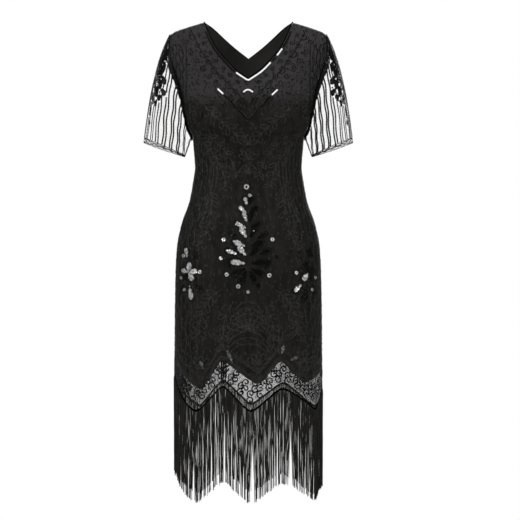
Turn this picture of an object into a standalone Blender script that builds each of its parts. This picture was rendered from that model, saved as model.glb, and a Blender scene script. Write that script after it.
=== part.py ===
"""Flapper dress of beaded net over a slip, in the shape it has when worn, with no wearer inside.

The front faces -Y and +X is the wearer's left. The origin lies midway between the two high
shoulder points, where the wearer's shoulders carry the dress, so every height below is negative.
All sizes are in metres.
"""

import math

import bmesh
import bpy
import numpy as np

# Cloth and trim.
CLOTH = 0.0010
BAND_THICK = 0.0008
SEAM_GAP = 0.0006
SLEEVE_SEAM = 0.0013
LAYER_GAP, SLIP_FREE_BY = 0.0032, 0.030
SLIP_SEAM_GAP, SLIP_SEAM_ENDS = 0.0009, (0.145, 0.168)
TRIM_GAP = 0.0006

# Heights down the dress.
UNDERARM_Z = -0.277
HIP_Z = -0.700
FRINGE_LENGTH = 0.202

# The zigzag hems across the front, from the right side seam to the left. The back is cut alike.
NET_HEM = np.array([
    # turn, z, column of the panel
    (-0.2500, -0.8480, 0),
    (-0.1280, -0.9265, 7),
    (-0.0630, -0.8690, 11),
    (0.0065, -0.9250, 15),
    (0.0860, -0.8740, 19),
    (0.1830, -0.9250, 24),
    (0.2500, -0.8790, 28),
])
SLIP_HEM = np.array([
    (-0.2500, -0.8000, 0),
    (-0.1155, -0.8720, 8),
    (-0.0665, -0.8080, 11),
    (0.0255, -0.8610, 16),
    (0.0825, -0.8090, 19),
    (0.1405, -0.8580, 22),
    (0.2500, -0.8360, 28),
])
HEM_SHARPNESS = 0.94
COLUMNS = 28
NET_NECK_COLUMNS, SLIP_NECK_COLUMNS = 8, 10
SEAM_TURN = 0.0003
SLOPE_STEP = 0.0004

# Body sections, from the shoulders down. Above the underarm the half width ends at the armhole.
SECTION_ROUND = 0.87
FIGURE = np.array([
    # z, half width, front depth, back depth
    (-1.150, 0.1750, 0.121, 0.122),
    (-0.920, 0.1755, 0.121, 0.122),
    (-0.700, 0.1752, 0.120, 0.124),
    (-0.600, 0.1735, 0.118, 0.126),
    (-0.539, 0.1700, 0.114, 0.123),
    (-0.483, 0.1586, 0.107, 0.111),
    (-0.429, 0.1398, 0.098, 0.092),
    (-0.384, 0.1314, 0.093, 0.080),
    (-0.349, 0.1267, 0.093, 0.078),
    (-0.316, 0.1288, 0.098, 0.084),
    (-0.277, 0.1330, 0.105, 0.093),
    (-0.249, 0.1440, 0.107, 0.098),
    (-0.205, 0.1515, 0.103, 0.103),
    (-0.171, 0.1580, 0.098, 0.104),
    (-0.128, 0.1710, 0.090, 0.101),
    (-0.088, 0.1840, 0.083, 0.095),
    (-0.030, 0.1865, 0.074, 0.084),
    (0.060, 0.1865, 0.066, 0.070),
])

# The shoulder line and the edges that the front and back are cut to, as a height for each x.
SHOULDER = np.array([
    # x, z
    (0.000, 0.030),
    (0.106, 0.000),
    (0.149, -0.013),
    (0.174, -0.022),
    (0.187, -0.030),
])
FRONT_NECK = np.array([
    (0.000, -0.1415),
    (0.028, -0.1220),
    (0.047, -0.1030),
    (0.074, -0.0710),
    (0.088, -0.0450),
    (0.106, 0.0000),
])
BACK_NECK = np.array([
    (0.000, -0.0800),
    (0.038, -0.0510),
    (0.057, -0.0350),
    (0.090, -0.0080),
    (0.106, 0.0000),
])
SLIP_FRONT_NECK = np.array([
    (0.000, -0.1800),
    (0.050, -0.1690),
    (0.088, -0.1540),
    (0.118, -0.1270),
    (0.141, -0.0105),
])
SLIP_BACK_NECK = np.array([
    (0.000, -0.0860),
    (0.057, -0.0420),
    (0.094, -0.0120),
    (0.112, -0.0018),
])
SHOULDER_ROUND = 0.100
ARMHOLE_DEPTH, ARMHOLE_ROUND = 0.057, 0.075

# Fullness of the bust, and the flutes that the skirt falls in.
BUST_X, BUST_Z, BUST_OUT, BUST_SPREAD = 0.072, -0.232, 0.015, 0.048
FLUTES, FLUTE_DEPTH = 7, 0.0035
FLUTE_TOP_Z, FLUTE_FULL_Z = -0.520, -0.900

# Rows down a panel, as shares of the way from the top edge to the underarm, and on to the hem.
YOKE_ROWS = (0, 0.012, 0.055, 0.12, 0.21, 0.32, 0.45, 0.60, 0.75, 0.88, 1)
NET_BODY_ROWS = (0.06, 0.13, 0.20, 0.28, 0.36, 0.44, 0.53, 0.63, 0.73, 0.83, 0.92, 1)
SLIP_BODY_ROWS = (0.07, 0.15, 0.23, 0.31, 0.40, 0.50, 0.62, 0.75, 0.88, 1)

# Sleeves: a bell from the armhole to a slanting cuff.
CUFF_OUTER = np.array([0.2480, 0.0, -0.2910])
CUFF_INNER = np.array([0.1520, 0.0, -0.3220])
CUFF_HALF_DEPTH = 0.058
SLEEVE_ROWS = (0, 0.13, 0.28, 0.44, 0.60, 0.76, 0.95, 1)
SLEEVE_CAP_LIFT = np.array([0.010, 0.0, 0.060])
SLEEVE_PUFF = 0.010
SLEEVE_FLUTES, SLEEVE_FLUTE_DEPTH = 5, 0.0025

# Trim: a beaded band round each cuff, and the tape that the fringe hangs from.
TAPE_ABOVE_HEM, TAPE_BELOW_HEM = 0.0060, 0.0012
CELLS_PER_COLUMN = 5
STRAND_STEPS = (
    # share of the length, share of the root's width, share of the root's thickness
    (0.45, 0.72, 0.95),
    (1.00, 0.46, 0.80),
)
STRAND_SWAY = 0.0012


def smooth(at, places, values):
    """Smooth curve through the given values that never overshoots them."""
    step = np.diff(places)
    slope = np.diff(values) / step
    tangent = np.concatenate([slope[:1], np.zeros(len(slope) - 1), slope[-1:]])
    rises = slope[:-1] * slope[1:] > 0
    inner = 2 * slope[:-1] * slope[1:] / np.where(rises, slope[:-1] + slope[1:], 1)
    tangent[1:-1] = np.where(rises, inner, 0)
    at = np.clip(at, places[0], places[-1])
    k = np.clip(np.searchsorted(places, at) - 1, 0, len(step) - 1)
    t = (at - places[k]) / step[k]
    start = values[k] * (1 + 2 * t) + t * step[k] * tangent[k]
    end = values[k + 1] * (3 - 2 * t) + (t - 1) * step[k] * tangent[k + 1]
    return start * (1 - t) ** 2 + end * t * t


def ramp(value, low, high):
    """0 at low and 1 at high, eased at both ends."""
    t = np.clip((value - low) / (high - low), 0, 1)
    return t * t * (3 - 2 * t)


def quarter_round(share):
    """Quarter of a circle, from 0 at share 0 to 1 at share 1."""
    return np.sqrt(1 - (1 - np.clip(share, 0, 1)) ** 2)


def section_angles():
    """Turns and angles for equal lengths of cloth along each quarter of the hip section."""
    angle = np.linspace(0, math.pi, 721)
    _, half, front, back = (smooth(HIP_Z, FIGURE[:, 0], column) for column in FIGURE.T)
    depth = np.where(angle < math.pi / 2, front, back)
    x = half * np.sin(angle) ** SECTION_ROUND
    y = depth * np.sign(np.cos(angle)) * np.abs(np.cos(angle)) ** SECTION_ROUND
    length = np.concatenate([[0], np.cumsum(np.hypot(np.diff(x), np.diff(y)))])
    side = length[360]
    turn = np.where(length < side, length / side, 1 + (length - side) / (length[-1] - side)) / 4
    return turn, angle


TURNS, ANGLES = section_angles()


def body(turn, z):
    """Points of the worn body: turn 0 is the centre front, 0.25 the left side, 0.5 the back.

    Each height is a rounded section, drawn in over the shoulders to the shoulder line, with
    the bust's fullness in front and flutes that deepen towards the hem.
    """
    turn, z = np.broadcast_arrays(np.asarray(turn, float), np.asarray(z, float))
    way_round = (turn + 0.5) % 1 - 0.5
    angle = np.sign(way_round) * np.interp(np.abs(way_round), TURNS, ANGLES)
    half, front, back = (smooth(z, FIGURE[:, 0], column) for column in FIGURE.T[1:])
    sine, cosine = np.sin(angle), np.cos(angle)
    x = half * np.sign(sine) * np.abs(sine) ** SECTION_ROUND
    edge = ARMHOLE_DEPTH * quarter_round((z - UNDERARM_Z) / ARMHOLE_ROUND)
    depth = edge + (np.where(cosine > 0, front, back) - edge) * np.abs(cosine) ** SECTION_ROUND
    below_shoulder = smooth(np.abs(x), SHOULDER[:, 0], SHOULDER[:, 1]) - z
    depth = depth * quarter_round(below_shoulder / SHOULDER_ROUND)
    from_bust = np.hypot(np.abs(x) - BUST_X, z - BUST_Z) / BUST_SPREAD
    depth = depth + np.where(cosine > 0, BUST_OUT * np.exp(-from_bust**2) * cosine**2, 0)
    flute = FLUTE_DEPTH * np.cos(2 * math.pi * FLUTES * turn)
    fuller = 1 + flute / half * ramp(-z, -FLUTE_TOP_Z, -FLUTE_FULL_Z)
    return np.stack([x * fuller, -np.sign(cosine) * depth * fuller, z], axis=-1)


def hem(turn, points):
    """Height of a zigzag hem, nearly straight between its points and rounded at them."""
    way_round = (turn + 0.5) % 1 - 0.5
    behind = np.abs(way_round) > 0.25
    across = np.where(behind, np.sign(way_round) / 2 - way_round, way_round)
    k = np.clip(np.searchsorted(points[:, 0], across) - 1, 0, len(points) - 2)
    share = (across - points[k, 0]) / (points[k + 1, 0] - points[k, 0])
    fall = np.arcsin(HEM_SHARPNESS * np.cos(math.pi * share)) / math.asin(HEM_SHARPNESS)
    return points[k, 1] + (points[k + 1, 1] - points[k, 1]) * (1 - fall) / 2


def hem_columns(centre, points):
    """Turns of a panel's columns at the hem, one of them on each of its points."""
    front = np.interp(np.arange(COLUMNS + 1), points[:, 2], points[:, 0])
    front = np.clip(front, -0.25 + SEAM_TURN, 0.25 - SEAM_TURN)
    return front if centre == 0 else centre - front[::-1]


def top_edge(turn, neck):
    """Height of a panel's top: its neckline, and the shoulder line beyond it."""
    z = np.zeros_like(turn)
    for _ in range(12):
        x = np.abs(body(turn, z)[..., 0])
        shoulder = smooth(x, SHOULDER[:, 0], SHOULDER[:, 1])
        z = np.where(x < neck[-1, 0], smooth(x, neck[:, 0], neck[:, 1]), shoulder)
    return z


def edge_turns(centre, neck, neck_columns):
    """Turns of a panel's columns at its top, evenly spaced along the neckline and the shoulder."""
    fine = np.linspace(0, 0.25 - SEAM_TURN, 1001)
    edge = body(centre + fine, top_edge(centre + fine, neck))
    length = np.concatenate([[0], np.cumsum(np.linalg.norm(np.diff(edge, axis=0), axis=1))])
    shoulder = np.interp(neck[-1, 0], np.abs(edge[:, 0]), length)
    along_neck = np.linspace(0, shoulder, neck_columns + 1)
    along_shoulder = np.linspace(shoulder, length[-1], COLUMNS // 2 - neck_columns + 1)[1:]
    half = np.interp(np.concatenate([along_neck, along_shoulder]), length, fine)
    return centre + np.concatenate([-half[:0:-1], half])


def panel_grid(centre, neck, neck_columns, hem_points, body_rows):
    """Turns and heights of a front or back panel's grid, rows from the top edge to the hem."""
    last = hem_columns(centre, hem_points)
    first = edge_turns(centre, neck, neck_columns)
    top, bottom = top_edge(first, neck), hem(last, hem_points)
    share = np.array(YOKE_ROWS)[:, None]
    yoke = np.stack([first + (last - first) * ramp(share, 0, 1), top + (UNDERARM_Z - top) * share])
    share = np.array(body_rows)[:, None]
    lower = np.stack([last + 0 * share, UNDERARM_Z + (bottom - UNDERARM_Z) * share])
    return np.concatenate([yoke, lower], axis=1)


def body_normals(turn, z):
    """Outward unit normals of the body, from its slopes down and round."""
    down = body(turn, z - SLOPE_STEP) - body(turn, z + SLOPE_STEP)
    across = body(turn + SLOPE_STEP, z) - body(turn - SLOPE_STEP, z)
    normal = np.cross(down, across)
    return normal / np.linalg.norm(normal, axis=-1, keepdims=True)


def panel(grid, out=0.0):
    """Points of a panel moved out from the body, its edges half a seam from the other panel."""
    turn, z = grid
    points = body(turn, z) + out * body_normals(turn, z)
    side = 1 if turn[0, 0] > 0 else -1
    points[..., 1] = side * np.maximum(side * points[..., 1], SEAM_GAP / 2)
    return points


def slip_depth(turn, z):
    """How far the slip lies in from the net: sewn to it along the shoulders, and free elsewhere."""
    x = np.abs(body(turn, z)[..., 0])
    below = ramp(smooth(x, SHOULDER[:, 0], SHOULDER[:, 1]) - z, 0, SLIP_FREE_BY)
    sewn = (1 - below) * (1 - ramp(x, *SLIP_SEAM_ENDS))
    return -(CLOTH + LAYER_GAP + (SLIP_SEAM_GAP - LAYER_GAP) * sewn)[..., None]


def tube_normals(points):
    """Outward unit normals of rings whose rows run down and whose columns run to the left."""
    across = np.roll(points, -1, axis=1) - np.roll(points, 1, axis=1)
    normal = np.cross(np.gradient(points, axis=0), across)
    return normal / np.linalg.norm(normal, axis=-1, keepdims=True)


def link(name, mesh, material):
    made = bpy.data.objects.new(name, mesh)
    mesh.materials.append(material)
    mesh.shade_smooth()
    mesh.set_sharp_from_angle(angle=math.radians(40))
    DRESS.objects.link(made)
    return made


def cloth(name, points, thickness, material, closed=False):
    """A wall of cloth: faces between the rows of a grid, thickened to both sides."""
    rows, columns = points.shape[:2]
    form = bmesh.new()
    verts = [[form.verts.new(point) for point in row] for row in points]
    for upper, lower in zip(verts, verts[1:]):
        for j in range(columns if closed else columns - 1):
            k = (j + 1) % columns
            form.faces.new((upper[j], lower[j], lower[k], upper[k]))
    mesh = bpy.data.meshes.new(name)
    form.to_mesh(mesh)
    form.free()
    made = link(name, mesh, material)
    wall = made.modifiers.new("wall", "SOLIDIFY")
    wall.thickness = thickness
    wall.offset = 0
    wall.use_even_offset = True
    return made


def armhole_ring(front, back, left):
    """Ring of the armhole from the shoulder down the front edge and up the back edge.

    It takes the panels' own edge points, and stands off them by the seam.
    """
    rows = len(YOKE_ROWS)
    front_edge = front[:rows, -1 if left else 0]
    back_edge = back[:rows, 0 if left else -1]
    ring = np.concatenate([front_edge, back_edge[-2:0:-1]])
    ring[:, 0] += SLEEVE_SEAM if left else -SLEEVE_SEAM
    ring[[0, rows - 1], 1] = 0
    return ring


def sleeve_points(ring, left):
    """Rings from the armhole to the cuff, each point on a curve that lifts the sleeve's cap."""
    length = np.linalg.norm(np.diff(ring, axis=0, append=ring[:1]), axis=1)
    share = np.concatenate([[0], np.cumsum(length)[:-1]]) / length.sum()
    around = 2 * math.pi * share
    mirror = np.array([1 if left else -1, 1, 1])
    centre, reach = (CUFF_OUTER + CUFF_INNER) / 2, (CUFF_OUTER - CUFF_INNER) / 2
    flute = 1 + SLEEVE_FLUTE_DEPTH / CUFF_HALF_DEPTH * np.cos(SLEEVE_FLUTES * around)
    forward = np.array([0, -CUFF_HALF_DEPTH, 0])
    cuff = np.cos(around)[:, None] * reach + np.sin(around)[:, None] * forward
    cuff = (centre + cuff * flute[:, None]) * mirror
    lift = ((1 + np.cos(around)) / 2)[:, None] * SLEEVE_CAP_LIFT
    puff = np.sin(around)[:, None] * np.array([0, -SLEEVE_PUFF, 0])
    control = (ring + cuff) / 2 + (lift + puff) * mirror
    down = np.array(SLEEVE_ROWS)[:, None, None]
    return (1 - down) ** 2 * ring + 2 * down * (1 - down) * control + down**2 * cuff


def cuff_band_points(sleeve):
    """Last rows of a sleeve, moved out to lie on the cloth."""
    out = CLOTH / 2 + TRIM_GAP + BAND_THICK / 2
    return (sleeve + out * tube_normals(sleeve))[-2:]


def fringe(name, net, material, seed):
    """Tape along a panel's hem, with strands drawn down from every second cell of its foot."""
    points = panel(net)
    below = points[-1] - points[-2]
    below /= np.linalg.norm(below, axis=-1, keepdims=True)
    cells = COLUMNS * CELLS_PER_COLUMN
    along = np.linspace(0, COLUMNS, cells + 1)
    columns = np.arange(COLUMNS + 1)

    def spread(values):
        return np.stack([np.interp(along, columns, values[:, axis]) for axis in range(3)], axis=1)

    edge, below = spread(points[-1]), spread(below)
    outward = spread(body_normals(*net)[-1])
    inner = CLOTH / 2 + TRIM_GAP
    corners = [
        edge + below * reach + outward * out
        for reach, out in (
            (-TAPE_ABOVE_HEM, inner),
            (TAPE_BELOW_HEM, inner),
            (TAPE_BELOW_HEM, inner + CLOTH),
            (-TAPE_ABOVE_HEM, inner + CLOTH),
        )
    ]
    form = bmesh.new()
    rings = [[form.verts.new(corner[i]) for corner in corners] for i in range(cells + 1)]
    feet = []
    for near, far in zip(rings, rings[1:]):
        for a in range(4):
            b = (a + 1) % 4
            face = form.faces.new((near[a], far[a], far[b], near[b]))
            if a == 1:
                feet.append(face)
    form.faces.new(rings[0])
    form.faces.new(rings[-1][::-1])
    draw_strands(form, feet[1::2], seed)
    bmesh.ops.recalc_face_normals(form, faces=form.faces)
    mesh = bpy.data.meshes.new(name)
    form.to_mesh(mesh)
    form.free()
    return link(name, mesh, material)


def draw_strands(form, feet, seed):
    """Draws each foot straight down in steps, narrowing and swaying a little on the way."""
    chance = np.random.default_rng(seed)
    for foot in feet:
        root = np.array(foot.calc_center_median())
        corners = np.array([vert.co for vert in foot.verts]) - root
        level = corners * [1, 1, 0]
        across = level[1] - level[0]
        across /= np.linalg.norm(across)
        wide = (level @ across)[:, None] * across
        for share, narrow, thin in STRAND_STEPS:
            foot = bmesh.ops.extrude_discrete_faces(form, faces=[foot])["faces"][0]
            sway = [*chance.uniform(-STRAND_SWAY, STRAND_SWAY, 2), -FRINGE_LENGTH * share]
            for vert, place in zip(foot.verts, root + sway + wide * narrow + (level - wide) * thin):
                vert.co = place


def finish(name, colour, roughness):
    material = bpy.data.materials.new(name)
    material.use_nodes = True
    shader = material.node_tree.nodes["Principled BSDF"]
    shader.inputs["Base Color"].default_value = (*colour, 1)
    shader.inputs["Roughness"].default_value = roughness
    return material


for old in list(bpy.data.objects):
    bpy.data.objects.remove(old)
DRESS = bpy.data.collections.new("flapper_dress")
bpy.context.scene.collection.children.link(DRESS)

NET = finish("beaded_net", (0.012, 0.012, 0.013), 0.65)
SLIP = finish("slip_cloth", (0.010, 0.010, 0.010), 0.75)
BEADS = finish("bead_trim", (0.020, 0.020, 0.022), 0.25)
THREAD = finish("fringe_thread", (0.014, 0.014, 0.014), 0.55)


def main():
    sides = (("front", 0.0, FRONT_NECK, SLIP_FRONT_NECK), ("back", 0.5, BACK_NECK, SLIP_BACK_NECK))
    net = {}
    for seed, (side, centre, neck, slip_neck) in enumerate(sides):
        net[side] = panel_grid(centre, neck, NET_NECK_COLUMNS, NET_HEM, NET_BODY_ROWS)
        cloth(f"net_{side}", panel(net[side]), CLOTH, NET)
        slip = panel_grid(centre, slip_neck, SLIP_NECK_COLUMNS, SLIP_HEM, SLIP_BODY_ROWS)
        cloth(f"slip_{side}", panel(slip, slip_depth(*slip)), CLOTH, SLIP)
        fringe(f"fringe_{side}", net[side], THREAD, seed)
    for side in ("left", "right"):
        left = side == "left"
        sleeve = sleeve_points(armhole_ring(panel(net["front"]), panel(net["back"]), left), left)
        if left:
            sleeve = sleeve[:, ::-1]
        cloth(f"sleeve_{side}", sleeve, CLOTH, NET, closed=True)
        cloth(f"cuff_band_{side}", cuff_band_points(sleeve), BAND_THICK, BEADS, closed=True)


main()
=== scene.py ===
"""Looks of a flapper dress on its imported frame: net, slip, sleeves, beadwork and fringe.

The front faces -Y and +X is the wearer's left. The origin lies between the high shoulder points.
Cloth and trim are worked out on the worn body, whose points are given by a turn round it (0 the
centre front, 0.25 the left side, 0.5 the centre back) and a height. Sizes are in metres. The
tables hold whole numbers: thousandths or ten-thousandths of a metre, a turn or a share.
"""

import math

import bpy
import numpy as np
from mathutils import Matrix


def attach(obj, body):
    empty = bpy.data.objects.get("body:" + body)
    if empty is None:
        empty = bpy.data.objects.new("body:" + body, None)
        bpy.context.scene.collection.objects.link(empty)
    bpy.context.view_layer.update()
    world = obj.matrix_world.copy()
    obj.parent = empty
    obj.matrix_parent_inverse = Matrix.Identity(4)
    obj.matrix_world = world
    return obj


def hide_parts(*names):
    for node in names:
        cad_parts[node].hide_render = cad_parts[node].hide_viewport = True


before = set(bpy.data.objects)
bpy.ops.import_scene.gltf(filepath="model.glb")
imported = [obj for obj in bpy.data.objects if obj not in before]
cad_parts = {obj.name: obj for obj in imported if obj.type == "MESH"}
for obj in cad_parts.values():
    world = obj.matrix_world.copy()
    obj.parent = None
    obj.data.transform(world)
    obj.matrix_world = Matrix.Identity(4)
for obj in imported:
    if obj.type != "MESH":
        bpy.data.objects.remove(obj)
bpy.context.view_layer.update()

PARTS, FINE = 1000, 10000
join = np.concatenate
SIDE = {True: "left", False: "right"}


def table(units, *rows):
    """Rows of whole numbers as an array, each column divided by its unit."""
    return np.array(rows) / units


def line(across, up):
    """Places from their two parts, either of which may be one for all."""
    return np.stack(np.broadcast_arrays(across, up), axis=-1)


def circle(angle):
    """Points of a flat circle of radius 1: the cosine and the sine of the angle, and 0."""
    return np.stack([np.cos(angle), np.sin(angle), 0 * angle], axis=-1)


def unit(vectors):
    return vectors / np.linalg.norm(vectors, axis=-1, keepdims=True)


def square_to(vectors, way):
    """Unit vectors of what is left of the vectors without their share along the way."""
    return unit(vectors - np.sum(vectors * way, axis=1, keepdims=True) * way)


def frames_from(across, out):
    return np.stack([across, np.cross(out, across), out], axis=-1)


# ---- sizes

NET_WALL, SLIP_WALL = 0.0006, 0.0007
SLIP_IN, SLIP_SEAM_IN, SLIP_FREE_BY = 0.0014, 0.0011, 0.03
SLIP_SEAM_ENDS = (0.145, 0.168)
SEAM_TURN, SEAM_GAP, SLEEVE_SEAM = 0.0003, 0.0006, 0.0013
SIDE_TURN = 0.25 - SEAM_TURN
ROUND = 0.95

UNDERARM_Z, HIP_Z = -0.277, -0.7
# Points of the front's hems: turn, z, column of the panel. The back is cut alike.
NET_HEM = table(
    (FINE, FINE, 1), (-2500, -8480, 0), (-1280, -9265, 28), (-630, -8690, 44), (65, -9250, 60),
    (860, -8740, 76), (1830, -9250, 96), (2500, -8790, 112),
)
SLIP_HEM = table(
    (FINE, FINE, 1), (-2500, -8000, 0), (-1155, -8720, 32), (-665, -8080, 44), (255, -8610, 64),
    (825, -8090, 76), (1405, -8580, 88), (2500, -8360, 112),
)
HEM_SHARPNESS = 0.94
FRINGE_LENGTH, FRINGE_TRIM = 0.213, 0.15

SECTION_ROUND, SECTION_STEPS = 0.87, 360
# z, half width, front depth, back depth
FIGURE = table(
    (PARTS, FINE, PARTS, PARTS),
    (-1150, 1750, 121, 122), (-920, 1755, 121, 122), (-700, 1752, 120, 124),
    (-600, 1735, 118, 126), (-539, 1700, 114, 123), (-483, 1586, 107, 111),
    (-429, 1398, 98, 92), (-384, 1314, 93, 80), (-349, 1267, 93, 78), (-316, 1288, 98, 84),
    (-277, 1330, 105, 93), (-249, 1440, 107, 98), (-205, 1515, 103, 103),
    (-171, 1580, 98, 104), (-128, 1710, 90, 101), (-88, 1840, 83, 95), (-30, 1865, 74, 84),
    (60, 1865, 66, 70),
)
# x and z of the shoulder line and of the necklines
SHOULDER = table(PARTS, (0, 30), (106, 0), (149, -13), (174, -22), (187, -30))
FRONT_NECK = table(
    FINE, (0, -1415), (280, -1220), (470, -1030), (740, -710), (880, -450), (1060, 0)
)
BACK_NECK = table(FINE, (0, -800), (380, -510), (570, -350), (900, -80), (1060, 0))
SLIP_FRONT_NECK = table(FINE, (0, -1800), (500, -1690), (880, -1540), (1180, -1270), (1410, -105))
SLIP_BACK_NECK = table(FINE, (0, -812), (380, -522), (570, -362), (900, -90), (1075, -6))
SHOULDER_ROUND = 0.1
ARMHOLE_DEPTH, ARMHOLE_ROUND = 0.057, 0.075
BUST_X, BUST_Z, BUST_OUT, BUST_SPREAD = 0.072, -0.232, 0.015, 0.048
FLUTES, FLUTE_DEPTH = 7, 0.0035
FLUTE_TOP_Z, FLUTE_FULL_Z = -0.52, -0.9
SLOPE = 0.0004

CUFF_OUTER = np.array([0.248, 0.0, -0.291])
CUFF_INNER = np.array([0.152, 0.0, -0.322])
CUFF_HALF_DEPTH = 0.058
SLEEVE_CAP_LIFT = np.array([0.01, 0.0, 0.06])
SLEEVE_PUFF = np.array([0, -0.01, 0])
SLEEVE_FLUTES, SLEEVE_FLUTE_DEPTH = 5, 0.0025

# Creases of the worn cloth, as soft troughs, or ridges where the depth is above 0: turn and z at
# one end and at the other (on a sleeve the shares round and down), half width, depth.
CREASE_UNITS = (PARTS, PARTS, PARTS, PARTS, FINE, FINE)
CREASES = table(
    CREASE_UNITS,
    (205, -330, 115, -455, 110, -30), (215, -375, 140, -500, 90, 24),
    (-210, -318, -130, -430, 100, -26), (-222, -362, -120, -520, 120, 30),
    (-190, -420, -105, -560, 90, -22), (190, -262, 105, -222, 80, -24),
    (-195, -268, -110, -216, 80, -26), (-165, -640, -150, -900, 120, -30),
    (-105, -700, -118, -905, 100, 24), (35, -670, 28, -905, 130, -26),
    (98, -610, 112, -900, 110, -30), (172, -690, 160, -905, 120, 26),
    (-40, -740, -50, -890, 100, -20), (300, -350, 385, -440, 110, -30),
    (310, -400, 420, -470, 100, 24), (700, -345, 610, -452, 110, -28),
    (690, -405, 585, -478, 100, 22), (455, -392, 560, -400, 80, -20),
    (340, -640, 352, -900, 120, -32), (430, -700, 425, -905, 110, 24),
    (520, -660, 512, -900, 120, -26), (610, -620, 622, -900, 110, -30),
    (680, -700, 672, -905, 120, 24),
)
SLEEVE_CREASES = table(
    CREASE_UNITS,
    (100, 100, 140, 950, 70, -26), (210, 300, 220, 1000, 60, 22), (330, 50, 300, 800, 70, -22),
    (440, 0, 390, 550, 60, -18), (580, 50, 620, 700, 70, -24), (700, 250, 690, 1000, 60, 20),
    (840, 80, 800, 900, 70, -24),
)


# ---- the worn body


def smooth(at, rows, column=1):
    """Cubic through a column over the first one, level wherever it turns back."""
    places, values = rows[:, 0], rows[:, column]
    step = np.diff(places)
    slope = np.diff(values) / step
    rises = slope[:-1] * slope[1:] > 0
    inner = 2 * slope[:-1] * slope[1:] / np.where(rises, slope[:-1] + slope[1:], 1)
    tangent = join([slope[:1], np.where(rises, inner, 0), slope[-1:]])
    at = np.clip(at, places[0], places[-1])
    k = np.clip(np.searchsorted(places, at) - 1, 0, len(step) - 1)
    t = (at - places[k]) / step[k]
    start = values[k] * (1 + 2 * t) + t * step[k] * tangent[k]
    end = values[k + 1] * (3 - 2 * t) + (t - 1) * step[k] * tangent[k + 1]
    return start * (1 - t) ** 2 + end * t * t


def ramp(value, low, high):
    """0 at low and 1 at high, by three squares less two cubes of the share between them."""
    t = np.clip((value - low) / (high - low), 0, 1)
    return t * t * (3 - 2 * t)


def quarter_round(share):
    """Quarter of a circle: the root of one less the square of what is left to share 1."""
    return np.sqrt(1 - (1 - np.clip(share, 0, 1)) ** 2)


def rounded(value):
    """The value to the section's power, with its own sign."""
    return np.sign(value) * np.abs(value) ** SECTION_ROUND


def lengths(steps):
    """Length up to each point of a path from the lengths of its steps."""
    return join([[0], np.cumsum(steps)])


def path_lengths(path):
    return lengths(np.linalg.norm(np.diff(path, axis=0), axis=1))


def section_angles():
    """Turns and angles for equal lengths of cloth along each quarter of the hip section."""
    angle = np.linspace(0, math.pi, 2 * SECTION_STEPS + 1)
    half, front, back = (smooth(HIP_Z, FIGURE, k) for k in (1, 2, 3))
    x = half * rounded(np.sin(angle))
    y = np.where(angle < math.pi / 2, front, back) * rounded(np.cos(angle))
    length = lengths(np.hypot(np.diff(x), np.diff(y)))
    side = length[SECTION_STEPS]
    turn = np.where(length < side, length / side, 1 + (length - side) / (length[-1] - side)) / 4
    return turn, angle


TURNS, ANGLES = section_angles()


def wrapped(turn):
    return (turn + 0.5) % 1 - 0.5


def shoulder_height(x):
    return smooth(np.abs(x), SHOULDER)


def body(turn, z):
    """A rounded oval at each height, half width times the sine of its angle to a power across
    and depth times its cosine to that power deep, drawn in by a quarter round below the
    shoulder line, with a bell of fullness at each bust point and waves at the hem."""
    turn, z = np.broadcast_arrays(np.asarray(turn, float), np.asarray(z, float))
    way_round = wrapped(turn)
    angle = np.sign(way_round) * np.interp(np.abs(way_round), TURNS, ANGLES)
    half, front, back = (smooth(z, FIGURE, k) for k in (1, 2, 3))
    cosine = np.cos(angle)
    x = half * rounded(np.sin(angle))
    edge = ARMHOLE_DEPTH * quarter_round((z - UNDERARM_Z) / ARMHOLE_ROUND)
    depth = edge + (np.where(cosine > 0, front, back) - edge) * np.abs(cosine) ** SECTION_ROUND
    depth = depth * quarter_round((shoulder_height(x) - z) / SHOULDER_ROUND)
    from_bust = np.hypot(np.abs(x) - BUST_X, z - BUST_Z) / BUST_SPREAD
    depth = depth + np.where(cosine > 0, BUST_OUT * np.exp(-from_bust**2) * cosine**2, 0)
    flute = FLUTE_DEPTH * np.cos(math.tau * FLUTES * turn)
    fuller = 1 + flute / half * ramp(-z, -FLUTE_TOP_Z, -FLUTE_FULL_Z)
    return np.stack([x * fuller, -np.sign(cosine) * depth * fuller, z], axis=-1)


def crease_depth(across, down, creases, reach):
    """Sum over the creases of depth times a bell of the distance off the crease's line, faded
    in over its first part and out over its last."""
    total = np.zeros(np.broadcast(across, down).shape)
    for from_a, from_d, to_a, to_d, width, depth in creases:
        a, d = wrapped(across - from_a) * reach[0], (down - from_d) * reach[1]
        way_a, way_d = (to_a - from_a) * reach[0], (to_d - from_d) * reach[1]
        length = math.hypot(way_a, way_d)
        along = (a * way_a + d * way_d) / length**2
        off = (a * way_d - d * way_a) / length
        fade = ramp(along, -0.12, 0.3) * (1 - ramp(along, 0.7, 1.12))
        total += depth * np.exp(-((off / width) ** 2)) * fade
    return total


def body_normals(turn, z):
    """Outward unit normals: the slope downwards crossed with the slope round."""
    down = body(turn, z - SLOPE) - body(turn, z + SLOPE)
    return unit(np.cross(down, body(turn + SLOPE, z) - body(turn - SLOPE, z)))


def worn(turn, z, out=0.0):
    """The body's points moved out by the creases and by the given distance."""
    lift = crease_depth(turn, z, CREASES, (ROUND, 1.0)) + out
    return body(turn, z) + lift[..., None] * body_normals(turn, z)


def worn_frames(turn, z):
    """Unit vectors round, up and outward on the creased cloth, from its own slopes."""
    across = unit(worn(turn + SLOPE, z) - worn(turn - SLOPE, z))
    out = unit(np.cross(across, worn(turn, z + SLOPE) - worn(turn, z - SLOPE)))
    return frames_from(across, out)


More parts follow.
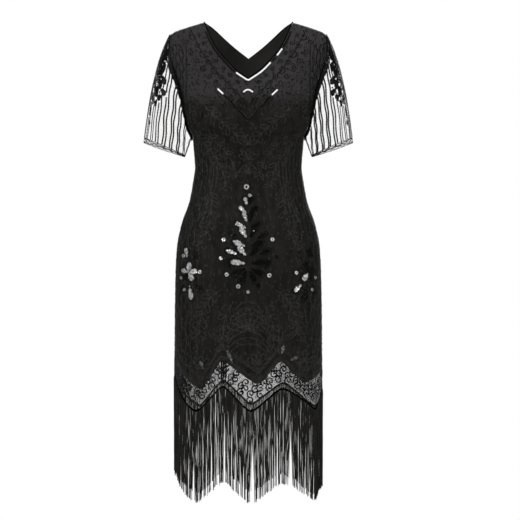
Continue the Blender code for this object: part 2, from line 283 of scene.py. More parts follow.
def hem(turn, points):
    """Zigzag hem: between two points the height falls by the arcsine of a cosine, nearly
    straight and rounded at the points. The back repeats the front mirrored."""
    way_round = wrapped(np.asarray(turn))
    behind = np.abs(way_round) > 0.25
    across = np.where(behind, np.sign(way_round) / 2 - way_round, way_round)
    k = np.clip(np.searchsorted(points[:, 0], across) - 1, 0, len(points) - 2)
    share = (across - points[k, 0]) / (points[k + 1, 0] - points[k, 0])
    fall = np.arcsin(HEM_SHARPNESS * np.cos(math.pi * share)) / math.asin(HEM_SHARPNESS)
    return points[k, 1] + (points[k + 1, 1] - points[k, 1]) * (1 - fall) / 2


def hem_columns(centre, points):
    """Turns of a panel's columns at the hem, with one of them on each of its points."""
    front = np.interp(np.arange(COLUMNS + 1), points[:, 2], points[:, 0])
    front = np.clip(front, -SIDE_TURN, SIDE_TURN)
    return front if centre == 0 else centre - front[::-1]


def edge_height(x, neck):
    """Height of a panel's top at x: its neckline, and the shoulder line beyond it."""
    x = np.abs(x)
    return np.where(x < neck[-1, 0], smooth(x, neck), shoulder_height(x))


def top_edge(turn, neck):
    """Height of a panel's top at a turn, found by stepping back and forth to its x."""
    z = np.zeros_like(turn)
    for _ in range(12):
        z = edge_height(body(turn, z)[..., 0], neck)
    return z


def turn_at(x, z):
    """Turn of the front point at x and z: the section's angle is the arcsine of x over the half
    width, to one over the section's power. The back point at x has a half less this turn."""
    share = np.clip(np.abs(x) / smooth(z, FIGURE), 0, 0.9999)
    return np.sign(x) * np.interp(np.arcsin(share ** (1 / SECTION_ROUND)), ANGLES, TURNS)


# ---- meshes


def surface(name, points, faces, material, uv=None, sharp=40):
    """A mesh from arrays: points, faces of equal numbers of corners, and a UV for each point."""
    mesh = bpy.data.meshes.new(name)
    mesh.vertices.add(points.size // 3)
    mesh.vertices.foreach_set("co", points.astype(np.float32).ravel())
    mesh.loops.add(faces.size)
    mesh.loops.foreach_set("vertex_index", faces.astype(np.int32).ravel())
    mesh.polygons.add(len(faces))
    starts = np.arange(0, faces.size, faces.shape[1], dtype=np.int32)
    mesh.polygons.foreach_set("loop_start", starts)
    mesh.update(calc_edges=True)
    if uv is not None:
        corners = uv.reshape(-1, 2)[faces.ravel()].astype(np.float32)
        mesh.uv_layers.new(name="cloth").data.foreach_set("uv", corners.ravel())
    mesh.materials.append(material)
    mesh.shade_smooth()
    mesh.set_sharp_from_angle(angle=math.radians(sharp))
    made = bpy.data.objects.new(name, mesh)
    bpy.context.scene.collection.objects.link(made)
    return made


def grid_faces(rows, columns, closed=False):
    """Four corners of each cell of a grid, rows down and columns to the wearer's left."""
    index = np.arange(rows * columns).reshape(rows, columns)
    right = np.roll(index, -1, axis=1)
    cells = np.stack([index[:-1], index[1:], right[1:], right[:-1]], axis=-1)
    return (cells if closed else cells[:, :-1]).reshape(-1, 4)


def thicken(piece, wall):
    shell = piece.modifiers.new("wall", "SOLIDIFY")
    shell.thickness = wall
    shell.offset = 0
    return piece


def place(piece, slot, *nodes):
    """Every piece moves with the dress's one body and stands for its nodes, which it hides; the
    slot is not used.
    """
    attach(piece, "root")
    if nodes:
        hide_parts(*nodes)
    return piece


def tube(name, path, across, radius, sides, closed=False):
    """A round profile carried along a path: cosine of the angle times the sideways vector plus
    sine of it times the vector square to that and to the path. Open ends have faces."""
    along = unit(np.gradient(path, axis=0))
    side = square_to(across, along)
    up = np.cross(along, side)
    angle = np.arange(sides) * math.tau / sides
    rim = np.cos(angle)[:, None] * side[:, None] + np.sin(angle)[:, None] * up[:, None]
    points = path[:, None] + radius * rim
    uv = line(angle * radius, path_lengths(path)[:, None])
    faces = grid_faces(len(path), sides, closed=True)[:, ::-1]
    last = (len(path) - 1) * sides
    corner = np.arange(sides)
    if closed:
        after = np.roll(corner, -1)
        ends = np.stack([last + corner, last + after, after, corner], axis=-1)
    else:
        cap = np.array([[0, k + 1, k, k - 1] for k in range(2, sides, 2)]) % sides
        ends = join([cap, last + cap[:, ::-1]])
    return surface(name, points, join([faces, ends]), FINISH["tape"], uv)


# ---- materials


def fit(tree, node, inputs):
    """Links a node's inputs to sockets or sets them to values."""
    for label, value in inputs.items():
        if isinstance(value, bpy.types.NodeSocket):
            tree.links.new(value, node.inputs[label])
        else:
            node.inputs[label].default_value = value
    return node


def add(tree, kind, inputs={}, **settings):
    node = tree.nodes.new("ShaderNode" + kind)
    for label, value in settings.items():
        setattr(node, label, value)
    return fit(tree, node, inputs)


def maths(tree, operation, *values):
    """A Math node on sockets or numbers."""
    return add(tree, "Math", dict(enumerate(values)), operation=operation).outputs[0]


def blend(tree, share, dark, light):
    """Colour between two, each a socket or a value."""
    inputs = {"Factor": share, "A": dark, "B": light}
    return add(tree, "Mix", inputs, data_type="RGBA").outputs["Result"]


def spread(tree, value, **ends):
    """A value mapped from one range to another, whose given ends aren't 0 and 1."""
    inputs = {label.replace("_", " "): end for label, end in ends.items()}
    return add(tree, "MapRange", {"Value": value, **inputs}).outputs["Result"]


def node_group(name, inputs, outputs):
    """An empty shader group. An input without a value is a vector; the rest are floats."""
    group = bpy.data.node_groups.new(name, "ShaderNodeTree")
    for label, value in inputs.items():
        kind = "NodeSocketVector" if value is None else "NodeSocketFloat"
        socket = group.interface.new_socket(label, in_out="INPUT", socket_type=kind)
        if value is not None:
            socket.default_value = value
    for label in outputs:
        group.interface.new_socket(label, in_out="OUTPUT", socket_type="NodeSocketFloat")
    return group, group.nodes.new("NodeGroupInput").outputs, group.nodes.new("NodeGroupOutput")


def net_mesh_group():
    """Mask of a fine net: 1 on the threads, which run along two diagonals at the given pitch."""
    inputs = {"Cloth": None, "Pitch": 0.0016, "Thread": 0.04}
    group, given, end = node_group("net_mesh", inputs, ["Threads"])
    x, y, _ = add(group, "SeparateXYZ", {0: given["Cloth"]}).outputs
    lines = []
    for sign in (1.0, -1.0):
        slant = maths(group, "MULTIPLY_ADD", y, sign, x)
        cell = maths(group, "FRACT", maths(group, "DIVIDE", slant, given["Pitch"]))
        off = maths(group, "ABSOLUTE", maths(group, "SUBTRACT", cell, 0.5))
        lines.append(maths(group, "LESS_THAN", off, given["Thread"]))
    fit(group, end, {"Threads": maths(group, "MAXIMUM", *lines)})
    return group


def weave_group():
    """Height of a plain weave: warp and weft ridges that take turns to lie on top."""
    group, given, end = node_group("plain_weave", {"Cloth": None, "Pitch": 0.0006}, ["Height"])
    split = add(group, "SeparateXYZ", {0: given["Cloth"]})
    waves = []
    for axis in ("X", "Y"):
        angle = maths(group, "DIVIDE", split.outputs[axis], given["Pitch"])
        waves.append(maths(group, "SINE", maths(group, "MULTIPLY", angle, math.tau)))
    over = maths(group, "MULTIPLY", *waves)
    fit(group, end, {"Height": maths(group, "MULTIPLY_ADD", over, 0.5, 0.5)})
    return group


def tone_group():
    """Slow drift of shade and a finer one of gloss, both from noise at the given scale."""
    inputs = {"Place": None, "Scale": 20.0}
    group, given, end = node_group("uneven_tone", inputs, ["Shade", "Gloss"])
    for output, times, detail in (("Shade", 1.0, 3.0), ("Gloss", 6.0, 2.0)):
        scale = maths(group, "MULTIPLY", given["Scale"], times)
        noise = {"Vector": given["Place"], "Scale": scale, "Detail": detail}
        drift = add(group, "TexNoise", noise).outputs["Fac"]
        fit(group, end, {output: spread(group, drift, From_Min=0.3, From_Max=0.7)})
    return group


NET_MESH, WEAVE, TONE = net_mesh_group(), weave_group(), tone_group()
# Heights over which the net's threads fade to the lighter yoke colour: painted light above the
# slip.
YOKE_PAINTED_LIGHT_RISE = {"From_Min": -0.205, "From_Max": -0.17}


def tone(part):
    """A colour with its alpha from three ten-thousandths, or from one for a grey."""
    return (*np.broadcast_to(np.divide(part, FINE), 3), 1)


def finish(name, dark, light, rough, scale, specular=0.5, metal=0.0, stretch=1.0,
           woven=None, net=None, yoke=None):
    """A Principled material whose colour and roughness drift, by a pattern drawn out up and
    down where the stretch is below 1. Woven: pitch and height of the threads' bump. Net: pitch
    and share of the threads, with clear holes between. Yoke: a lighter colour painted on the
    threads above the slip, which is painted light on the shaded inside seen through the net."""
    material = bpy.data.materials.new(name)
    material.use_nodes = True
    tree = material.node_tree
    coordinate = add(tree, "TexCoord").outputs
    drawn = add(tree, "Mapping", {"Vector": coordinate["Object"], "Scale": (1, 1, stretch)})
    drift = {0: drawn.outputs["Vector"], "Scale": scale}
    drift = add(tree, "Group", drift, node_tree=TONE).outputs
    colour = blend(tree, drift["Shade"], tone(dark), tone(light))
    # Painted light: the threads above the slip turn lighter, lifting the shaded inside seen through
    # the yoke.
    if yoke:
        split = add(tree, "SeparateXYZ", {0: coordinate["Object"]})
        high = spread(tree, split.outputs["Z"], **YOKE_PAINTED_LIGHT_RISE)
        colour = blend(tree, high, colour, tone(yoke))
    gloss = spread(tree, drift["Gloss"], To_Min=rough[0], To_Max=rough[1])
    looks = {"Base Color": colour, "Roughness": gloss}
    looks |= {"Specular IOR Level": specular, "Metallic": metal}
    if net:
        mesh = {0: coordinate["UV"], "Pitch": net[0], "Thread": net[1]}
        looks["Alpha"] = add(tree, "Group", mesh, node_tree=NET_MESH).outputs["Threads"]
    if woven:
        weave = add(tree, "Group", {0: coordinate["UV"], "Pitch": woven[0]}, node_tree=WEAVE)
        bump = {"Height": weave.outputs["Height"], "Distance": woven[1]}
        looks["Normal"] = add(tree, "Bump", bump).outputs["Normal"]
    fit(tree, tree.nodes["Principled BSDF"], looks)
    return material


CREPE, MATT, GLASS = (0.0006, 0.00012), (0.7, 0.88), (0.14, 0.36)
FINISH = {
    # The net's yoke colour is painted light: lighter threads above the slip.
    "net": finish("black_net", (21, 20, 16), (134, 128, 102), (0.6, 0.85), 70, 0.12, stretch=0.35,
                  net=(0.0015, 0.092), yoke=(360, 330, 356)),
    "sleeve": finish("sleeve_net", 120, 240, (0.6, 0.85), 70, 0.12, stretch=0.35,
                     net=(0.0017, 0.007)),
    "slip": finish("slip_crepe", (49, 47, 36), (96, 92, 70), MATT, 9, 0.12, woven=CREPE),
    "tape": finish("braid_tape", 10, 40, (0.8, 0.95), 9, 0.0, woven=(0.0009, 0.0002)),
    # Fringe threads: the long lighter streaks in their colour are painted highlights of the shiny
    # strands, partly uneven tone.
    "thread": finish("fringe_thread", 3, (176, 167, 142), (0.42, 0.64), 420, 0.1, stretch=0.04,
                     woven=(0.0011, 0.0002)),
    # The back slip: the same black crepe coloured lighter, which is painted light on the shaded
    # inside of the dress.
    "lining": finish("slip_lining", (170, 162, 154), (300, 286, 271), MATT, 9, 0.12, woven=CREPE),
    "bead": finish("black_glass_bead", 1, (40, 40, 42), GLASS, 330, 0.07),
    # Seed beads: black glass whose lighter ones are painted glints, partly uneven tone.
    "seed": finish("seed_bead_painted_glints", (4, 4, 3), (280, 274, 226), GLASS, 330, 0.24),
    "black_sequin": finish("black_sequin", 1, (12, 12, 13), (0.14, 0.38), 180, 0.08),
    "gunmetal_sequin": finish("gunmetal_sequin", (350, 350, 370), (1100, 1100, 1140),
                              (0.2, 0.38), 150, metal=0.7),
    # Bright sequins are painted reflection: black sequins made pale silver where they catch the
    # lamps, mostly on the wearer's right.
    "bright_sequin": finish("bright_sequin", (1600, 1600, 1650), 5000, (0.18, 0.38), 170,
                            metal=0.55),
    "silver": finish("silver_bugle", 8000, 9500, (0.18, 0.32), 120, metal=0.3),
}


# ---- cloth panels

COLUMNS, BACK_GRAIN = 112, math.radians(19)
NET_NECK_COLUMNS, SLIP_NECK_COLUMNS = 32, 40
YOKE_SHARES = join([[0, 0.006, 0.018], np.linspace(0.035, 1, 44)])
BODY_SHARES = np.linspace(0, 1, 104)[1:]
PANELS = {"front": (0.0, FRONT_NECK, SLIP_FRONT_NECK), "back": (0.5, BACK_NECK, SLIP_BACK_NECK)}


def edge_turns(centre, neck, neck_columns):
    """Turns of a panel's columns at its top, evenly spaced along the neckline and the shoulder."""
    fine = np.linspace(0, SIDE_TURN, 1001)
    edge = body(centre + fine, top_edge(centre + fine, neck))
    length = path_lengths(edge)
    shoulder = np.interp(neck[-1, 0], np.abs(edge[:, 0]), length)
    along_neck = np.linspace(0, shoulder, neck_columns + 1)
    along_shoulder = np.linspace(shoulder, length[-1], COLUMNS // 2 - neck_columns + 1)[1:]
    half = np.interp(join([along_neck, along_shoulder]), length, fine)
    return centre + join([-half[:0:-1], half])


def panel_grid(centre, neck, neck_columns, hem_points):
    """Turns and heights of a panel's grid: the columns ease into even ones from the top edge to
    the underarm, and from there onto the points of the hem."""
    even = centre + np.linspace(-SIDE_TURN, SIDE_TURN, COLUMNS + 1)
    first, last = edge_turns(centre, neck, neck_columns), hem_columns(centre, hem_points)
    top, bottom = top_edge(first, neck), hem(last, hem_points)
    share = YOKE_SHARES[:, None]
    yoke = first + (even - first) * ramp(share, 0, 1), top + (UNDERARM_Z - top) * share
    share = BODY_SHARES[:, None]
    lower = even + (last - even) * share, UNDERARM_Z + (bottom - UNDERARM_Z) * share
    return join([yoke, lower], axis=1)


def slip_depth(turn, z):
    """How far in the slip lies: sewn close to the net along the shoulders, and free elsewhere."""
    x = np.abs(body(turn, z)[..., 0])
    below = ramp(shoulder_height(x) - z, 0, SLIP_FREE_BY)
    sewn = (1 - below) * (1 - ramp(x, *SLIP_SEAM_ENDS))
    return -(SLIP_IN + (SLIP_SEAM_IN - SLIP_IN) * sewn)


def panel(name, grid, cloth, wall, out=0.0):
    """A front or back panel, kept half a seam's gap from the other, named after its node."""
    turn, z = grid
    points = worn(turn, z, out)
    side = 1 if turn[0, 0] > 0 else -1
    points[..., 1] = side * np.maximum(side * points[..., 1], SEAM_GAP / 2)
    grain, along = 0.0 if side > 0 else BACK_GRAIN, turn * ROUND
    sine, cosine = math.sin(grain), math.cos(grain)
    uv = line(along * cosine - z * sine, along * sine + z * cosine)
    piece = surface(f"{name}_cloth", points, grid_faces(*turn.shape), FINISH[cloth], uv)
    return place(thicken(piece, wall), name.split("_")[0], name)


def make_panels():
    pieces = {}
    for side, (centre, neck, slip_neck) in PANELS.items():
        grid = panel_grid(centre, neck, NET_NECK_COLUMNS, NET_HEM)
        pieces[f"net_{side}"] = panel(f"net_{side}", grid, "net", NET_WALL)
        grid = panel_grid(centre, slip_neck, SLIP_NECK_COLUMNS, SLIP_HEM)
        # The back slip takes the lighter crepe: painted light for the shade inside the dress.
        cloth = "slip" if side == "front" else "lining"
        pieces[f"slip_{side}"] = panel(f"slip_{side}", grid, cloth, SLIP_WALL, slip_depth(*grid))
    return pieces


# ---- sleeves

SLEEVE_COLUMNS, SLEEVE_ROWS, RING_STEPS = 96, 44, 121
SLEEVE_REACH, SLEEVE_SLOPE, WELD_WITHIN = (0.36, 0.27), 0.002, 0.00002


def armhole_ring(left):
    """Places round the armhole for each share of its length, from the shoulder down the front."""
    side = 1 if left else -1
    rows = np.linspace(0, 1, RING_STEPS)
    halves = []
    for turn, neck in ((SIDE_TURN, FRONT_NECK), (0.25 + SEAM_TURN, BACK_NECK)):
        top = float(top_edge(np.array([turn]), neck)[0])
        halves.append(worn(np.full(RING_STEPS, side * turn), top + (UNDERARM_Z - top) * rows))
    ring = join([halves[0], halves[1][-2::-1]])
    ring[:, 0] += side * SLEEVE_SEAM
    ring[[0, RING_STEPS - 1, -1], 1] = 0
    ring[-1] = ring[0]
    length = path_lengths(ring)
    return length / length[-1], ring


RINGS = {left: armhole_ring(left) for left in (True, False)}


def sleeve(left, share, down, out=0.0):
    """A curve of the second degree from the armhole to the cuff's slanting oval, whose middle
    point lifts the cap and pulls in the sides; creases move it off the sleeve's middle line."""
    share, down = np.broadcast_arrays(np.asarray(share, float) % 1, np.asarray(down, float))
    places, ring = RINGS[left]
    start = np.stack([np.interp(share, places, ring[:, axis]) for axis in range(3)], axis=-1)
    around = math.tau * share[..., None]
    mirror = np.array([1 if left else -1, 1, 1])
    centre, reach = (CUFF_OUTER + CUFF_INNER) / 2, (CUFF_OUTER - CUFF_INNER) / 2
    flute = 1 + SLEEVE_FLUTE_DEPTH / CUFF_HALF_DEPTH * np.cos(SLEEVE_FLUTES * around)
    forward = np.array([0, -CUFF_HALF_DEPTH, 0])
    cuff = (centre + (np.cos(around) * reach + np.sin(around) * forward) * flute) * mirror
    lift = (1 + np.cos(around)) / 2 * SLEEVE_CAP_LIFT
    control = (start + cuff) / 2 + (lift + np.sin(around) * SLEEVE_PUFF) * mirror
    raised = crease_depth(share, down, SLEEVE_CREASES, SLEEVE_REACH) * ramp(down, 0, 0.12)
    down = down[..., None]
    points = (1 - down) ** 2 * start + 2 * down * (1 - down) * control + down**2 * cuff
    armhole = ring.mean(axis=0)
    away = points - (armhole + (centre * mirror - armhole) * down)
    return points + unit(away) * (raised + out)[..., None]


def sleeve_frames(left, share, down):
    """Unit vectors round, down the sleeve and outward, from the sleeve's own slopes."""
    below = np.minimum(down + SLEEVE_SLOPE, 1.0)
    ahead, behind = (sleeve(left, share + step, down) for step in (SLEEVE_SLOPE, -SLEEVE_SLOPE))
    round_it = unit(ahead - behind)
    run = unit(sleeve(left, share, below) - sleeve(left, share, below - 2 * SLEEVE_SLOPE))
    return frames_from(round_it, unit(np.cross(round_it, run)) * (1 if left else -1))


def make_sleeve(left):
    """The sleeve's tube, whose two columns at the seam are welded and keep the map's edge."""
    share = np.arange(SLEEVE_COLUMNS) / SLEEVE_COLUMNS
    share = share[::-1] if left else share
    down = np.linspace(0, 1, SLEEVE_ROWS)[:, None]
    points = sleeve(left, share[None], down)
    uv = line(share * SLEEVE_REACH[0], down * SLEEVE_REACH[1])
    seam = uv[:, :1] + [-SLEEVE_REACH[0] if left else SLEEVE_REACH[0], 0]
    points = join([points, points[:, :1]], axis=1)
    uv = join([uv, seam], axis=1)
    name, faces = f"sleeve_{SIDE[left]}", grid_faces(*points.shape[:2])
    piece = surface(f"{name}_cloth", points, faces, FINISH["sleeve"], uv)
    piece.modifiers.new("seam", "WELD").merge_threshold = WELD_WITHIN
    return place(thicken(piece, NET_WALL), "net", name)


# ---- fringe

STRANDS, STRAND_POINTS, STRAND_RADIUS = 410, 12, 0.00064
STRAND_ENDS, STRAND_SHIFT, STRAND_RISE = 0.2488, (-0.0004, 0.0004), (-0.0004, 0.001)
STRAND_TRIM, STRAND_THICK, STRAND_TAPER, STRAND_TWIST = (-0.004, 0.002), (0.8, 1.15), 0.12, 2.2
STRAND_SWAY, STRAND_RIPPLE, STRAND_INWARD = (0.0002, 0.0009), 0.0003, 0.003
LOCKS, LOCK_START, BEHIND = 160, -0.26, 1.047
LOCK_WIDTHS, LOCK_DRAW, LOCK_VARY = (0.004, 0.012), (0.2, 0.72), (0.9, 1.1)
PART_VARY, STRAND_PITCH = (0.7, 1.15), 0.0009
# x, half width, how far the strands part, share of the length where it starts
PARTINGS = table(
    (FINE, PARTS, FINE, 100),
    (-1270, 12, 42, 35), (-980, 7, 16, 15), (-725, 7, 22, 25), (-560, 7, 26, 20),
    (-300, 7, 16, 40), (100, 13, 56, 22), (240, 6, 16, 30), (500, 7, 14, 45), (790, 6, 20, 5),
    (985, 13, 62, 25), (1320, 7, 18, 40), (1540, 9, 32, 45),
)
TAPE_ABOVE_HEM, TAPE_BELOW_HEM, TAPE_OUT, TAPE_STEPS = 0.0044, 0.0012, 0.0014, 337
# Corners of the tape: height above the hem, distance out. It bulges a little at its middle.
TAPE_SECTION = (
    (TAPE_ABOVE_HEM, 0.0006), (-TAPE_BELOW_HEM, 0.0006), (-TAPE_BELOW_HEM, TAPE_OUT),
    (0.0008, 0.002), (0.0032, 0.002), (TAPE_ABOVE_HEM, TAPE_OUT),
)
TAPE_PITCH, TRIM_SHARP = 0.0023, 50


def fringe_strands(centre, seed):
    """Strands from even places along the tape: each goes straight down, leans towards the
    middle of its lock and away from the partings by a growing share, sways by two sines, and
    its four corners turn slowly round it. The back's locks lie just behind the front's."""
    chance, back = np.random.default_rng(seed), centre != 0

    def draw(ends, *rows):
        return chance.uniform(*ends, (*rows, STRANDS))

    across = np.linspace(-STRAND_ENDS, STRAND_ENDS, STRANDS) + draw(STRAND_SHIFT)
    turn = centre - across if back else across
    z = hem(turn, NET_HEM) - TAPE_BELOW_HEM * 0.5
    root = worn(turn, z, TAPE_OUT + draw(STRAND_RISE))
    rightward, _, outward = np.moveaxis(worn_frames(turn, z), -1, 0)
    rightward = -rightward if back else rightward
    share = np.linspace(0, 1, STRAND_POINTS)[None]
    behind = BEHIND if back else 1.0
    widths = np.random.default_rng(7).uniform(*LOCK_WIDTHS, LOCKS)
    ends = (LOCK_START + np.cumsum(widths) / ROUND) * behind
    k = np.searchsorted(ends, across)
    middle = (ends[k - 1] + ends[k]) / 2
    drawn_in = np.random.default_rng(8).uniform(*LOCK_DRAW, LOCKS)[k] * draw(LOCK_VARY)
    sideways = ((middle - across) * ROUND * drawn_in)[:, None] * share**1.2
    free = draw(PART_VARY)[:, None]
    for x, width, push, begins in PARTINGS:
        off = ((across - turn_at(x * behind, NET_HEM[1, 1])) * ROUND / width)[:, None]
        near = np.exp(-(off**2))
        sideways = sideways * (1 - near)
        sideways = sideways + push * free * np.sign(off) * near * ramp(share, begins, 1.0)
    phase, sway = draw((0, math.tau), 4)[..., None], draw(STRAND_SWAY, 2)[..., None]
    sideways = sideways + sway[0] * np.sin(3.0 * share + phase[0]) * share
    sideways = sideways + STRAND_RIPPLE * np.sin(11.0 * share + phase[1]) * ramp(share, 0, 0.3)
    inward = sway[1] * np.sin(2.4 * share + phase[2]) * share
    inward = inward - STRAND_INWARD * share * draw((0, 1))[:, None]
    length = FRINGE_LENGTH + draw(STRAND_TRIM) + FRINGE_TRIM * (z - NET_HEM[:, 1].min())
    path = root[:, None] + sideways[..., None] * rightward[:, None]
    path = path + inward[..., None] * outward[:, None]
    path[..., 2] = root[:, None, 2] - share * length[:, None]
    angle = np.arange(4) * math.pi / 2 + (phase[3] + STRAND_TWIST * math.pi * share)[..., None]
    thick = draw(STRAND_THICK)[:, None, None] * (1 - STRAND_TAPER * share)[..., None]
    points = path[:, :, None] + STRAND_RADIUS * thick[..., None] * circle(angle)
    return points, line(np.arange(4) * STRAND_PITCH, -path[..., 2:3])


def make_fringe(side, centre, seed):
    """All the strands of one side in one piece, with a face across each end of a strand."""
    strands, uv = fringe_strands(centre, seed)
    count, points = strands.shape[:2]
    top = np.array([[0, 1, 2, 3]])
    bottom = top[:, ::-1] + 4 * (points - 1)
    one = join([grid_faces(points, 4, closed=True), top, bottom])
    faces = (one[None] + 4 * points * np.arange(count)[:, None, None]).reshape(-1, 4)
    name = f"fringe_{side}"
    piece = surface(f"{name}_strands", strands, faces, FINISH["thread"], uv, TRIM_SHARP)
    return place(piece, "fringe", name)


def make_braid(side, centre):
    """The braid tape: its section carried along the hem, with faces across each end."""
    turn = centre + np.linspace(-SIDE_TURN, SIDE_TURN, TAPE_STEPS)
    edge, corners = hem(turn, NET_HEM), len(TAPE_SECTION)
    points = np.stack([worn(turn, edge + up, out) for up, out in TAPE_SECTION], axis=1)
    uv = np.stack([line(turn * ROUND, k * TAPE_PITCH) for k in range(corners)], axis=1)
    caps = np.array([[0, 1, 2, 3], [0, 3, 4, 5]])
    caps = join([caps, (TAPE_STEPS - 1) * corners + caps[:, ::-1]])
    faces = join([grid_faces(TAPE_STEPS, corners, closed=True), caps])
    piece = surface(f"hem_braid_{side}", points, faces, FINISH["tape"], uv, TRIM_SHARP)
    return place(piece, "fringe", f"fringe_{side}")


# ---- drawn lines

BEAD_STEP, SCROLL_STEP, HEM_BEAD_STEP, BEAD_TILT = 0.003, 0.0027, 0.0026, 0.24
EDGE_ROOM, HEM_ROOM, SIDE_ROOM, SEQUIN_ROOM = 0.0026, 0.0062, 0.0022, 0.0022
SPAN_STEPS, SCROLL_TURNS, SCROLL_STEPS = 14, 1.25, 44
LEAF_FULL, LEAF_STEPS, GARLAND_SPAN = 1.3, 41, (0.12, 0.94)
ROW_PITCH, FIRST_ROW, EDGE_SHARE, TIP_SHARE = 0.87, 0.8, 0.18, 0.3
CELL_KEYS = [100003, 1]


def through(points):
    """Cubics through the points, whose slope at each is half the way from the point before it
    to the one after it."""
    before = join([2 * points[:1] - points[1:2], points[:-1]])
    after = join([points[1:], 2 * points[-1:] - points[-2:-1]])
    slope = (after - before) / 2
    t = (np.arange(SPAN_STEPS) / SPAN_STEPS)[:, None, None]
    spans = points[:-1] * (1 + 2 * t) * (1 - t) ** 2 + points[1:] * t * t * (3 - 2 * t)
    spans = spans + slope[:-1] * t * (1 - t) ** 2 - slope[1:] * t * t * (1 - t)
    return join([spans.transpose(1, 0, 2).reshape(-1, 2), points[-1:]])


def about(x, z, reach, angle):
    """Points at a reach and an angle about x, z."""
    return line(x + reach * np.cos(angle), z + reach * np.sin(angle))


def scroll(x, z, radius, start, hand):
    """Spiral about x, z from the given angle in degrees, its radius falling evenly to a sixth."""
    share = np.linspace(0, 1, SCROLL_STEPS)
    angle = math.radians(start) + hand * math.tau * SCROLL_TURNS * share
    return about(x, z, radius * (1 - share * 5 / 6), angle)


def set_on(along, across, x, z, lean):
    """Points of a leaf with its foot at x, z, turned by the lean in degrees from straight up."""
    lean = math.radians(lean)
    right = along * math.sin(lean) + across * math.cos(lean)
    return line(x + right, z + (along * math.cos(lean) - across * math.sin(lean)))


def leaf(x, z, length, width, lean):
    """Outline of a leaf: with h from 0 to a half turn it is the length times the square of the
    sine of h along, and 1.3 times the width times that square times the cosine of h across."""
    half = np.linspace(0, math.pi, LEAF_STEPS)
    along = np.sin(half) ** 2
    return set_on(length * along, LEAF_FULL * width * along * np.cos(half), x, z, lean)


def leaf_filling(x, z, length, width, lean):
    """Places in staggered rows inside the leaf's outline."""
    row, column = np.meshgrid(np.arange(60), np.arange(-12, 13), indexing="ij")
    along = (row + FIRST_ROW) * SEQUIN_PITCH * ROW_PITCH
    across = (column + 0.5 * (row % 2)) * SEQUIN_PITCH
    share = np.clip(along / length, 0, 1)
    half = LEAF_FULL * width * share * np.sqrt(1 - share) - EDGE_SHARE * SEQUIN_PITCH
    inside = (np.abs(across) < half) & (along < length - TIP_SHARE * SEQUIN_PITCH)
    return set_on(along[inside], across[inside], x, z, lean)


def mirrored(lines):
    return list(lines) + [drawn * [-1, 1] for drawn in lines]


def garland(points, count, length, width, spread):
    """A stem through the points, with a pair of leaves at even places along it."""
    stem = through(np.array(points) / FINE)
    at = np.linspace(*GARLAND_SPAN, count) * (len(stem) - 1)
    lines = [stem]
    for k in at.astype(int):
        way = stem[min(k + 1, len(stem) - 1)] - stem[k - 1]
        lean = math.degrees(math.atan2(way[0], way[1]))
        lines += [leaf(*stem[k], length, width, lean + side * spread) for side in (-1, 1)]
    return lines


def fan(x, z, length, width, reach, petals):
    """Leaves spread evenly about straight up."""
    return [leaf(x, z, length, width, lean) for lean in np.linspace(-reach, reach, petals)]


def spaced(drawn, step, place):
    """Places an even step apart along a line, by its length on the cloth."""
    length = path_lengths(place(drawn[:, 0], drawn[:, 1]))
    count = max(round(length[-1] / step), 1)
    at = (np.arange(count) + 0.5) * length[-1] / count
    return line(*(np.interp(at, length, drawn[:, k]) for k in (0, 1)))


def first_in_cells(places, cell):
    """Numbers of the first of the places in each square cell, in their own order."""
    return np.sort(np.unique(np.floor(places / cell), axis=0, return_index=True)[1])


def clear_of(places, taken, cell):
    """The places that are in no cell that touches a taken one's cell."""
    key = np.floor(taken / cell).astype(int)
    near = join([key + [a, b] for a in (-1, 0, 1) for b in (-1, 0, 1)]) @ CELL_KEYS
    return places[~np.isin(np.floor(places / cell).astype(int) @ CELL_KEYS, near)]


# ---- small shapes

BEAD_RADIUS, BEAD_HEIGHT, BEAD_SIDES, SEQUIN_SIDES = 0.0012, 0.0009, 6, 8
LARGE_RADIUS, HEM_RADIUS, SLEEVE_RADIUS, LARGE_STEP = 0.00155, 0.002, 0.00235, 0.0036
SEQUIN_RADIUS, SEQUIN_CUP, SEQUIN_WALL = 0.002, 0.0003, 0.00035
BUGLE_RADIUS, BUGLE_LENGTH, BUGLE_GAP = 0.002, 0.0062, 0.0004


def double_cone(radius, top, bottom, sides=BEAD_SIDES):
    """Closed shape of triangles from a rim to a point above it and one below it."""
    angle = np.arange(sides) * math.tau / sides
    points = join([circle(angle) * radius, [[0, 0, top], [0, 0, bottom]]])
    k, after = np.arange(sides), (np.arange(sides) + 1) % sides
    upper = np.stack([k, after, 0 * k + sides], axis=-1)
    lower = np.stack([after, k, 0 * k + sides + 1], axis=-1)
    return points, join([upper, lower])


def small_bar(radius, length):
    """Six-sided bar lying along the first axis, its ends closed."""
    k, after = np.arange(6), (np.arange(6) + 1) % 6
    hexagon = circle(k * math.pi / 3)[:, [2, 0, 1]] * radius
    ends = [hexagon + [side * length / 2, 0, 0] for side in (-1, 1)]
    sides = join([[k, after, 6 + after], [k, 6 + after, 6 + k]], axis=1).T
    cap = np.array([[0, 2, 1], [0, 3, 2], [0, 4, 3], [0, 5, 4]])
    return join(ends), join([sides, cap, 6 + cap[:, ::-1]])


BEAD = double_cone(BEAD_RADIUS, BEAD_HEIGHT, -BEAD_HEIGHT)
LARGE_BEAD = double_cone(LARGE_RADIUS, LARGE_RADIUS * 0.75, -LARGE_RADIUS * 0.75)
HEM_BEAD, SLEEVE_BEAD = (double_cone(r, r * 0.6, -r * 0.6) for r in (HEM_RADIUS, SLEEVE_RADIUS))
SEQUIN = double_cone(SEQUIN_RADIUS, -SEQUIN_CUP, -SEQUIN_CUP - SEQUIN_WALL, SEQUIN_SIDES)
BUGLE = small_bar(BUGLE_RADIUS, BUGLE_LENGTH)


